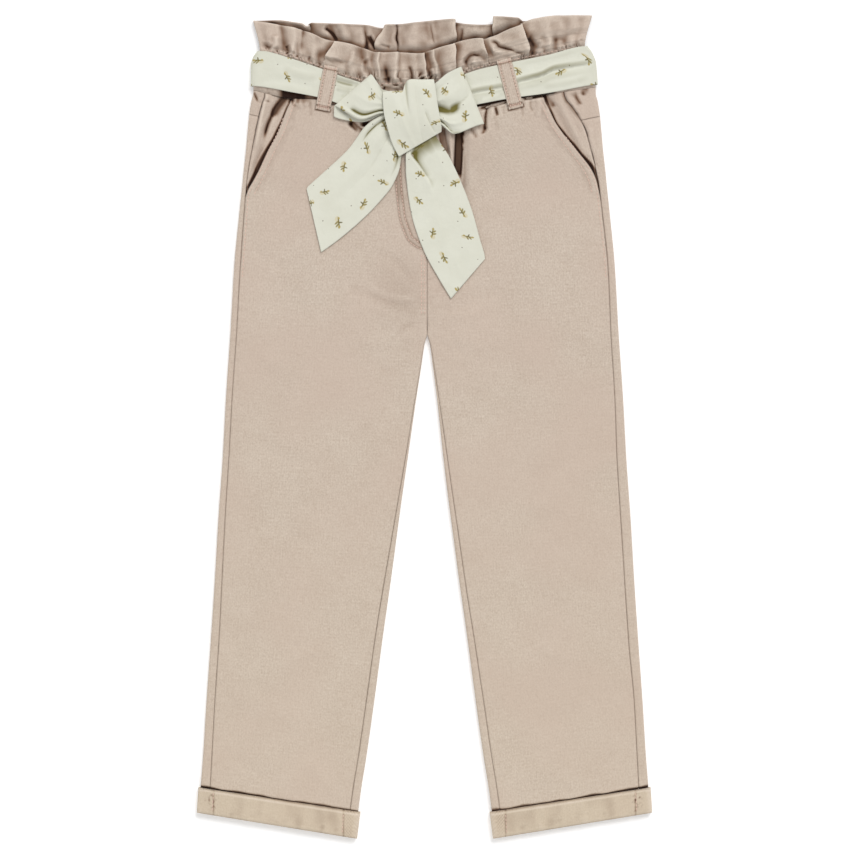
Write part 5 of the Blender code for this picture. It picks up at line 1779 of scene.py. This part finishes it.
# ---- Finishes ----
class Finish:
    """A small helper that wires a material's nodes."""

    def __init__(self, name):
        self.material = bpy.data.materials.new(name)
        self.material.use_nodes = True
        self.tree = self.material.node_tree
        self.shader = self.tree.nodes["Principled BSDF"]

    def add(self, kind, *values, **settings):
        """A node with its inputs set or linked, in order, and its settings. None leaves an input alone."""
        made = self.tree.nodes.new(kind)
        for key, value in settings.items():
            setattr(made, key, value)
        for socket, value in zip(made.inputs, values):
            self.give(socket, value)
        return made

    def give(self, socket, value):
        """Links a node or a socket to an input, or sets the input to a plain value."""
        if value is None:
            return
        if isinstance(value, bpy.types.Node):
            value = value.outputs[0]
        if isinstance(value, bpy.types.NodeSocket):
            self.tree.links.new(value, socket)
        else:
            socket.default_value = value

    def math(self, operation, first, second=None):
        return self.add("ShaderNodeMath", first, second, operation=operation)

    def vector(self, operation, first, second=None):
        return self.add("ShaderNodeVectorMath", first, second, operation=operation)

    def mix(self, share, first, second):
        """A colour between two, by share."""
        made = self.tree.nodes.new("ShaderNodeMix")
        made.data_type = "RGBA"
        self.give(made.inputs[0], share)
        self.give(made.inputs[6], first)
        self.give(made.inputs[7], second)
        return made.outputs[2]

    def noise(self, place, scale, detail=2.0, roughness=0.5):
        made = self.tree.nodes.new("ShaderNodeTexNoise")
        self.give(made.inputs["Vector"], place)
        self.give(made.inputs["Scale"], scale)
        self.give(made.inputs["Detail"], detail)
        self.give(made.inputs["Roughness"], roughness)
        return made.outputs["Fac"]

    def remap(self, value, low, high, to_low=0.0, to_high=1.0):
        """A value taken evenly from one range to another, and held within it."""
        return self.add("ShaderNodeMapRange", value, low, high, to_low, to_high)

    def cut_place(self):
        """Place on the flat cut, in millimetres."""
        place = self.add("ShaderNodeUVMap", uv_map="Cut")
        return self.stretched(place, MM_IN_METRE / CUT_SCALE, MM_IN_METRE / CUT_SCALE, 0.0)

    def laid_place(self):
        """Place on the laid trousers, in millimetres."""
        place = self.add("ShaderNodeTexCoord").outputs["Object"]
        return self.stretched(place, MM_IN_METRE, MM_IN_METRE, MM_IN_METRE)

    def wear(self):
        """The cloth's wear, painted highlight and painted shade, kept on the grid by `cloth`."""
        return self.add("ShaderNodeAttribute", attribute_name="Wear").outputs["Fac"]

    def stretched(self, place, x, y, z=1.0):
        return self.vector("MULTIPLY", place, (x, y, z))

    def bump(self, height, distance, strength=1.0, under=None):
        made = self.tree.nodes.new("ShaderNodeBump")
        self.give(made.inputs["Strength"], strength)
        self.give(made.inputs["Distance"], distance)
        self.give(made.inputs["Height"], height)
        if under is not None:
            self.give(made.inputs["Normal"], under)
        return made.outputs["Normal"]


def srgb(red, green, blue):
    """A colour given as 0 to 255 on screen, in linear light."""
    def linear(value):
        value /= 255.0
        return value / 12.92 if value <= 0.04045 else ((value + 0.055) / 1.055) ** 2.4

    return linear(red), linear(green), linear(blue), 1.0


def twill(looks, name="Washed twill", faded=0.0):
    """Washed twill: a fine diagonal, slubs along the warp, cloudy fading, and painted shade and painted
    highlight.
    """
    found = bpy.data.materials.get(name)
    if found:
        return found
    made = Finish(name)
    cut = made.cut_place()
    body = made.laid_place()
    diagonal = made.add("ShaderNodeTexWave", cut, 0.63, 0.8, 1.0, 1.2, bands_direction="DIAGONAL")
    grain = made.noise(made.stretched(cut, 1.0, 0.7), 0.85, 2.0)
    slubs = made.noise(made.stretched(cut, 1.1, 0.09), 1.0, 1.0)
    weft = made.noise(made.stretched(cut, 0.07, 0.9), 1.0, 1.0)
    clouds = made.noise(body, 0.035, 3.0, 0.55)
    patches = made.noise(body, 0.012, 1.0)
    tone = made.math("MULTIPLY", made.math("SUBTRACT", grain, 0.5), 1.3)
    for source, weight in ((slubs, 0.5), (weft, 0.35), (clouds, 0.35)):
        tone = made.math("ADD", tone, made.math("MULTIPLY", made.math("SUBTRACT", source, 0.5), weight))
    share = made.remap(tone, -0.5, 0.5)
    cloth_tone = made.mix(share, tuple(looks.twill_dark), tuple(looks.twill_light))
    blushed = made.mix(made.remap(patches, 0.38, 0.66, 0.0, 0.5), cloth_tone, tuple(looks.twill_blush))
    wear = made.wear()
    height = made.add("ShaderNodeSeparateXYZ", body).outputs[1]
    lower = made.remap(height, 120.0, -260.0, faded, faded + 0.14)
    bared = made.mix(lower, blushed, tuple(looks.twill_inside))
    # painted shade in folds, darker painted shade in hollows, then wear with a painted highlight on raised
    # edges
    shaded = made.mix(made.remap(wear, 0.48, -0.2), bared, tuple(looks.twill_shade))
    sunk = made.mix(made.remap(wear, -0.2, -0.5), shaded, tuple(looks.twill_deep))
    wear_shade_and_highlight = made.mix(made.remap(wear, 0.56, 1.0, 0.0, 0.6), sunk, tuple(looks.twill_rubbed))
    made.give(made.shader.inputs["Base Color"], wear_shade_and_highlight)
    made.shader.inputs["Roughness"].default_value = 0.88
    made.shader.inputs["Specular IOR Level"].default_value = 0.18
    made.shader.inputs["Sheen Weight"].default_value = 0.12
    made.shader.inputs["Sheen Roughness"].default_value = 0.55
    lines, specks = made.math("MULTIPLY", diagonal.outputs["Fac"], 0.7), made.math("MULTIPLY", grain, 0.9)
    relief = made.bump(made.math("ADD", lines, specks), 0.00018, 0.9)
    made.give(made.shader.inputs["Normal"], made.bump(made.noise(body, 0.28, 2.0), 0.0006, 0.6, relief))
    return made.material


Motif = namedtuple("Motif", "x y length width turn tint")
SPRIG = (  # ovals, in millimetres about the sprig's own middle
    Motif(0.0, 0.0, 4.4, 0.5, 0.42, "stem"),
    Motif(-0.9, 1.1, 1.8, 0.75, 1.5, "leaf"),
    Motif(1.0, 1.7, 1.7, 0.7, 1.2, "leaf"),
    Motif(0.8, -0.9, 1.5, 0.55, 2.4, "stem"),
    Motif(3.0, 1.4, 1.2, 0.9, 0.4, "bud"),
    Motif(-2.7, -1.7, 1.0, 0.7, 0.0, "bud"),
)
BLOSSOM = Motif(-3.0, -0.5, 2.2, 1.7, 0.4, "wash")
DOT = Motif(0.0, 0.0, 0.5, 0.5, 0.0, "dot")
SPRIG_STEP = (29.0, 23.0)  # from one sprig to the next, along and across the cloth
DOT_STEP = (27.0, 23.0)


def sash_cotton(looks):
    """Thin cream cotton with a scattered print of small sprigs and dots, and painted shade in its hollows.
    """
    found = bpy.data.materials.get("Sash cotton")
    if found:
        return found
    made = Finish("Sash cotton")
    cut = made.cut_place()
    body = made.laid_place()
    clouds = made.noise(body, 0.06, 2.0)
    ground = made.mix(clouds, tuple(looks.sash_shade), tuple(looks.sash_ground))

    def turned(place, angle):
        spun = made.add("ShaderNodeVectorRotate", place, None, None, angle, rotation_type="Z_AXIS")
        return spun.outputs[0]

    def scattered(step, shift, seed):
        """Place about the middle of each repeat, turned and shifted by its own random amount."""
        cell = made.vector("DIVIDE", made.vector("ADD", cut, shift), (step[0], step[1], 1.0))
        parts = made.add("ShaderNodeSeparateXYZ", cell)
        odd = made.math("MODULO", made.math("FLOOR", parts.outputs[0]), 2.0)
        half = made.math("MULTIPLY", odd, 0.5)
        across = made.math("ADD", parts.outputs[1], half)
        dropped = made.add("ShaderNodeCombineXYZ", parts.outputs[0], across, seed)
        whole = made.vector("FLOOR", dropped)
        chance = made.add("ShaderNodeTexWhiteNoise", whole, noise_dimensions="3D").outputs["Color"]
        inside = made.vector("SUBTRACT", made.vector("FRACTION", dropped), (0.5, 0.5, 0.0))
        jitter = made.vector("MULTIPLY", made.vector("SUBTRACT", chance, (0.5, 0.5, 0.5)), (0.3, 0.3, 0.0))
        local = made.vector("MULTIPLY", made.vector("SUBTRACT", inside, jitter), (step[0], step[1], 0.0))
        angle = made.math("MULTIPLY", made.add("ShaderNodeSeparateXYZ", chance).outputs[2], 2 * pi)
        return turned(local, angle)

    def oval(place, motif):
        shifted = made.vector("SUBTRACT", place, (motif.x, motif.y, 0.0))
        sized = made.stretched(turned(shifted, -motif.turn), 1 / motif.length, 1 / motif.width, 0.0)
        distance = made.vector("LENGTH", sized).outputs["Value"]
        return made.remap(distance, 1.15, 0.75)

    sprig = scattered(SPRIG_STEP, (3.0, 5.0, 0.0), 3.0)
    dots = scattered(DOT_STEP, (9.0, 2.0, 0.0), 11.0)
    colour = ground
    printed = [(sprig, BLOSSOM, 0.8)] + [(sprig, motif, 0.85) for motif in SPRIG] + [(dots, DOT, 0.8)]
    for place, motif, strength in printed:
        tint = tuple(getattr(looks, "print_" + motif.tint))
        colour = made.mix(made.math("MULTIPLY", oval(place, motif), strength), colour, tint)
    wear = made.wear()
    # painted shade in the hollows of the sash
    shaded = made.mix(made.remap(wear, 0.45, -0.4), colour, tuple(looks.sash_deep))
    made.give(made.shader.inputs["Base Color"], shaded)
    made.shader.inputs["Roughness"].default_value = 0.8
    made.shader.inputs["Specular IOR Level"].default_value = 0.2
    made.shader.inputs["Sheen Weight"].default_value = 0.1
    weave = made.add("ShaderNodeTexChecker", cut, None, None, 3.2).outputs["Fac"]
    relief = made.bump(weave, 0.00003, 0.5)
    made.give(made.shader.inputs["Normal"], made.bump(made.noise(body, 0.35, 2.0), 0.0004, 0.5, relief))
    return made.material


def thread_finish(looks):
    """Matt sewing thread, a little pinker than the cloth."""
    made = Finish("Sewing thread")
    body = made.laid_place()
    tone = made.noise(body, 0.9, 1.0)
    colour = made.mix(tone, tuple(looks.thread_dark), tuple(looks.thread_light))
    made.give(made.shader.inputs["Base Color"], colour)
    made.shader.inputs["Roughness"].default_value = 0.7
    made.shader.inputs["Sheen Weight"].default_value = 0.2
    return made.material


# ---- Stage ----
FLOOR_DROP = 0.0002  # the floor lies this far below the part
SENSOR_WIDTH = 36.0


def stage(settings):
    """Sets the floor, the camera over it, two suns and an even room light."""
    floor_mesh = bpy.data.meshes.new("floor")
    grid = bmesh.new()
    bmesh.ops.create_grid(grid, x_segments=1, y_segments=1, size=settings.floor_size / 2)
    bmesh.ops.translate(grid, verts=grid.verts, vec=(0.0, 0.0, -FLOOR_DROP))
    grid.to_mesh(floor_mesh)
    grid.free()
    paper = Finish("Floor paper")
    mottle = paper.noise(paper.add("ShaderNodeTexCoord").outputs["Object"], 40.0, 2.0)
    floor_tint = tuple(settings.floor_colour)
    darker = tuple(value * 0.99 for value in floor_tint[:3]) + (1.0,)
    paper.give(paper.shader.inputs["Base Color"], paper.mix(mottle, darker, floor_tint))
    paper.shader.inputs["Roughness"].default_value = 0.9
    paper.shader.inputs["Emission Color"].default_value = (1.0, 1.0, 1.0, 1.0)
    paper.shader.inputs["Emission Strength"].default_value = settings.floor_glow
    paper.shader.inputs["Specular IOR Level"].default_value = 0.1
    floor_mesh.materials.append(paper.material)
    floor = bpy.data.objects.new("floor", floor_mesh)
    bpy.context.scene.collection.objects.link(floor)

    camera_data = bpy.data.cameras.new("Camera")
    camera_data.sensor_width = SENSOR_WIDTH
    camera_data.lens = SENSOR_WIDTH * settings.camera_height / settings.view_width
    camera_data.clip_end = 50.0
    camera = bpy.data.objects.new("Camera", camera_data)
    camera.location = (*settings.view_middle, settings.camera_height)
    bpy.context.scene.collection.objects.link(camera)
    bpy.context.scene.camera = camera

    for name, place, angle, power in (
        ("Key", (0.8, 1.5, 2.3), radians(30.0), settings.key_power),
        ("Fill", (-1.6, -0.6, 2.2), radians(60.0), settings.fill_power),
    ):
        light_data = bpy.data.lights.new(name, "SUN")
        light_data.angle = angle
        light_data.energy = power
        light = bpy.data.objects.new(name, light_data)
        light.location = place
        light.rotation_euler = (-Vector(place)).to_track_quat("-Z", "Y").to_euler()
        bpy.context.scene.collection.objects.link(light)
    world = bpy.data.worlds.new("Studio")
    world.use_nodes = True
    room = world.node_tree.nodes["Background"]
    room.inputs["Color"].default_value = (1.0, 1.0, 1.0, 1.0)
    room.inputs["Strength"].default_value = settings.room_light
    bpy.context.scene.world = world
    bpy.context.scene.view_settings.view_transform = "Standard"


# ---- Settings ----
def tint(name, description, red, green, blue):
    """A colour property, from 0 to 255 on screen."""
    return FloatVectorProperty(name=name, description=description, subtype="COLOR", size=4, min=0.0, max=1.0,
                               default=srgb(red, green, blue))


def metres(name, description, value):
    """A length property."""
    return FloatProperty(name=name, description=description, unit="LENGTH", precision=5, min=0.0,
                         default=value)


class ClothLooks(bpy.types.PropertyGroup):
    """Thicknesses and colours of the cloth and thread."""

    twill_wall: metres("Twill", "Thickness of the twill", 0.0008)
    cuff_wall: metres("Cuff", "Thickness of the turned-up hem", 0.0015)
    loop_wall: metres("Belt loop", "Thickness of a folded belt loop", 0.001)
    sash_wall: metres("Sash", "Thickness of the sash", 0.0006)
    thread_radius: metres("Thread", "Radius of the sewing thread", 0.0003)
    stitch_length: metres("Stitch", "Length of one stitch", 0.0022)
    stitch_step: metres("Stitch step", "From one stitch to the next", 0.003)
    twill_light: tint("Twill light", "Lighter threads of the twill", 223, 209, 194)
    twill_dark: tint("Twill dark", "Darker threads of the twill", 190, 171, 154)
    twill_blush: tint("Twill blush", "Pinker clouds of the dye", 208, 187, 172)
    twill_inside: tint("Twill inside", "Yellower face of the turned-up hems and lower legs", 216, 199, 168)
    # wear with a painted highlight on raised edges; painted shade in folds; the darkest painted shade in
    # hollows
    twill_rubbed: tint("Twill rubbed", "Edges that the wash has faded", 236, 221, 205)
    twill_shade: tint("Twill shade", "Where the cloth sinks into a fold", 131, 102, 82)
    twill_deep: tint("Twill deep", "Hollows that keep their dye", 46, 22, 8)
    sash_ground: tint("Sash ground", "Cream ground of the sash", 227, 227, 213)
    sash_shade: tint("Sash shade", "Cloudy tone of the ground", 216, 215, 199)
    # painted shade of the sash's hollows
    sash_deep: tint("Sash deep", "Hollows of the sash", 116, 108, 56)
    print_stem: tint("Stem", "Stems of the print", 98, 86, 30)
    print_leaf: tint("Leaf", "Leaves of the print", 138, 122, 50)
    print_bud: tint("Bud", "Buds of the print", 178, 158, 88)
    print_wash: tint("Blossom", "Pale blossoms of the print", 214, 204, 172)
    print_dot: tint("Dot", "Dots of the print", 118, 108, 92)
    thread_light: tint("Thread light", "Light side of the thread", 236, 208, 192)
    thread_dark: tint("Thread dark", "Dark side of the thread", 214, 182, 166)


class StageLooks(bpy.types.PropertyGroup):
    """Camera, floor and lights."""

    camera_height: metres("Camera height", "Height of the camera over the floor", 4.0)
    view_width: metres("View width", "Width of floor that the camera sees", 0.68)
    view_middle: FloatVectorProperty(name="View middle", description="Middle of the view", size=2,
                                     unit="LENGTH", default=(0.0004, 0.0016))
    floor_size: metres("Floor size", "Side of the floor", 8.0)
    floor_colour: tint("Floor", "Colour of the floor", 250, 250, 250)
    floor_glow: FloatProperty(name="Floor glow", description="Light of the floor itself", default=0.22)
    key_power: FloatProperty(name="Key", description="Main light, from above the waist", default=1.62)
    fill_power: FloatProperty(name="Fill", description="Weaker light from the other side", default=0.4)
    room_light: FloatProperty(name="Room", description="Even light from all round", default=0.5)


# ---- Operators ----
class TROUSERS_OT_front_legs(bpy.types.Operator):
    """Front panels, with the pocket mouths and the mock fly"""

    bl_idname = "trousers.front_legs"
    bl_label = "Front legs"

    def execute(self, context):
        for name, side in SIDES.items():
            front_leg(name, side, context.scene.cloth_looks)
        return {"FINISHED"}


class TROUSERS_OT_back_legs(bpy.types.Operator):
    """Back panels and yokes"""

    bl_idname = "trousers.back_legs"
    bl_label = "Back legs and yokes"

    def execute(self, context):
        for name, side in SIDES.items():
            back_leg(name, side, context.scene.cloth_looks)
            yoke(name, side, context.scene.cloth_looks)
        return {"FINISHED"}


class TROUSERS_OT_pocket_facings(bpy.types.Operator):
    """Cloth that shows in the pocket mouths"""

    bl_idname = "trousers.pocket_facings"
    bl_label = "Pocket facings"

    def execute(self, context):
        for name, side in SIDES.items():
            pocket_facing(name, side, context.scene.cloth_looks)
        return {"FINISHED"}


class TROUSERS_OT_cuffs(bpy.types.Operator):
    """Turned-up hems"""

    bl_idname = "trousers.cuffs"
    bl_label = "Cuffs"

    def execute(self, context):
        for name, side in SIDES.items():
            cuff(name, side, context.scene.cloth_looks)
        return {"FINISHED"}


class TROUSERS_OT_waistband(bpy.types.Operator):
    """Elastic casing and gathered paperbag frill"""

    bl_idname = "trousers.waistband"
    bl_label = "Waistband"

    def execute(self, context):
        for side in WAISTBAND_HALVES:
            waistband(side, context.scene.cloth_looks)
        return {"FINISHED"}


class TROUSERS_OT_sash(bpy.types.Operator):
    """Sash round the waist"""

    bl_idname = "trousers.sash"
    bl_label = "Sash"

    def execute(self, context):
        waist_sash(context.scene.cloth_looks)
        return {"FINISHED"}


class TROUSERS_OT_bow(bpy.types.Operator):
    """Bow loops, knot and tails"""

    bl_idname = "trousers.bow"
    bl_label = "Bow"

    def execute(self, context):
        bow(context.scene.cloth_looks)
        return {"FINISHED"}


class TROUSERS_OT_belt_loops(bpy.types.Operator):
    """Two belt loops over the sash and three behind"""

    bl_idname = "trousers.belt_loops"
    bl_label = "Belt loops"

    def execute(self, context):
        looks = context.scene.cloth_looks
        for place in FRONT_LOOPS:
            belt_loop(place, loop_arch, looks)
        for place in BACK_LOOPS:
            belt_loop(place, lambda _v: 0.0, looks, flip_over=True)
        return {"FINISHED"}


class TROUSERS_OT_stitching(bpy.types.Operator):
    """Rows of stitches on the finished pieces"""

    bl_idname = "trousers.stitching"
    bl_label = "Stitching"

    def execute(self, context):
        stitching(context.scene.cloth_looks)
        return {"FINISHED"}


class TROUSERS_OT_stage(bpy.types.Operator):
    """Floor, lights and camera"""

    bl_idname = "trousers.stage"
    bl_label = "Stage"

    def execute(self, context):
        stage(context.scene.stage_looks)
        return {"FINISHED"}


OPERATORS = (
    TROUSERS_OT_front_legs,
    TROUSERS_OT_back_legs,
    TROUSERS_OT_pocket_facings,
    TROUSERS_OT_cuffs,
    TROUSERS_OT_waistband,
    TROUSERS_OT_sash,
    TROUSERS_OT_bow,
    TROUSERS_OT_belt_loops,
    TROUSERS_OT_stitching,
    TROUSERS_OT_stage,
)


class TROUSERS_PT_make(bpy.types.Panel):
    """Makes the trousers piece by piece"""

    bl_idname = "TROUSERS_PT_make"
    bl_label = "Paperbag waist trousers"
    bl_space_type = "VIEW_3D"
    bl_region_type = "UI"
    bl_category = "Trousers"

    def draw(self, context):
        for operator in OPERATORS:
            self.layout.operator(operator.bl_idname)
        for looks in (context.scene.cloth_looks, context.scene.stage_looks):
            box = self.layout.box()
            for name in looks.bl_rna.properties.keys():
                if name not in ("rna_type", "name"):
                    box.prop(looks, name)


CLASSES = (ClothLooks, StageLooks, *OPERATORS, TROUSERS_PT_make)


def register():
    for made in CLASSES:
        bpy.utils.register_class(made)
    bpy.types.Scene.cloth_looks = PointerProperty(type=ClothLooks)
    bpy.types.Scene.stage_looks = PointerProperty(type=StageLooks)


def unregister():
    del bpy.types.Scene.stage_looks
    del bpy.types.Scene.cloth_looks
    for made in reversed(CLASSES):
        bpy.utils.unregister_class(made)


def main():
    register()
    for operator in OPERATORS:
        group, name = operator.bl_idname.split(".")
        getattr(getattr(bpy.ops, group), name)()


dressed = bpy.data.collections.new("Paperbag waist trousers")
bpy.context.scene.collection.children.link(dressed)

if __name__ == "__main__":
    main()
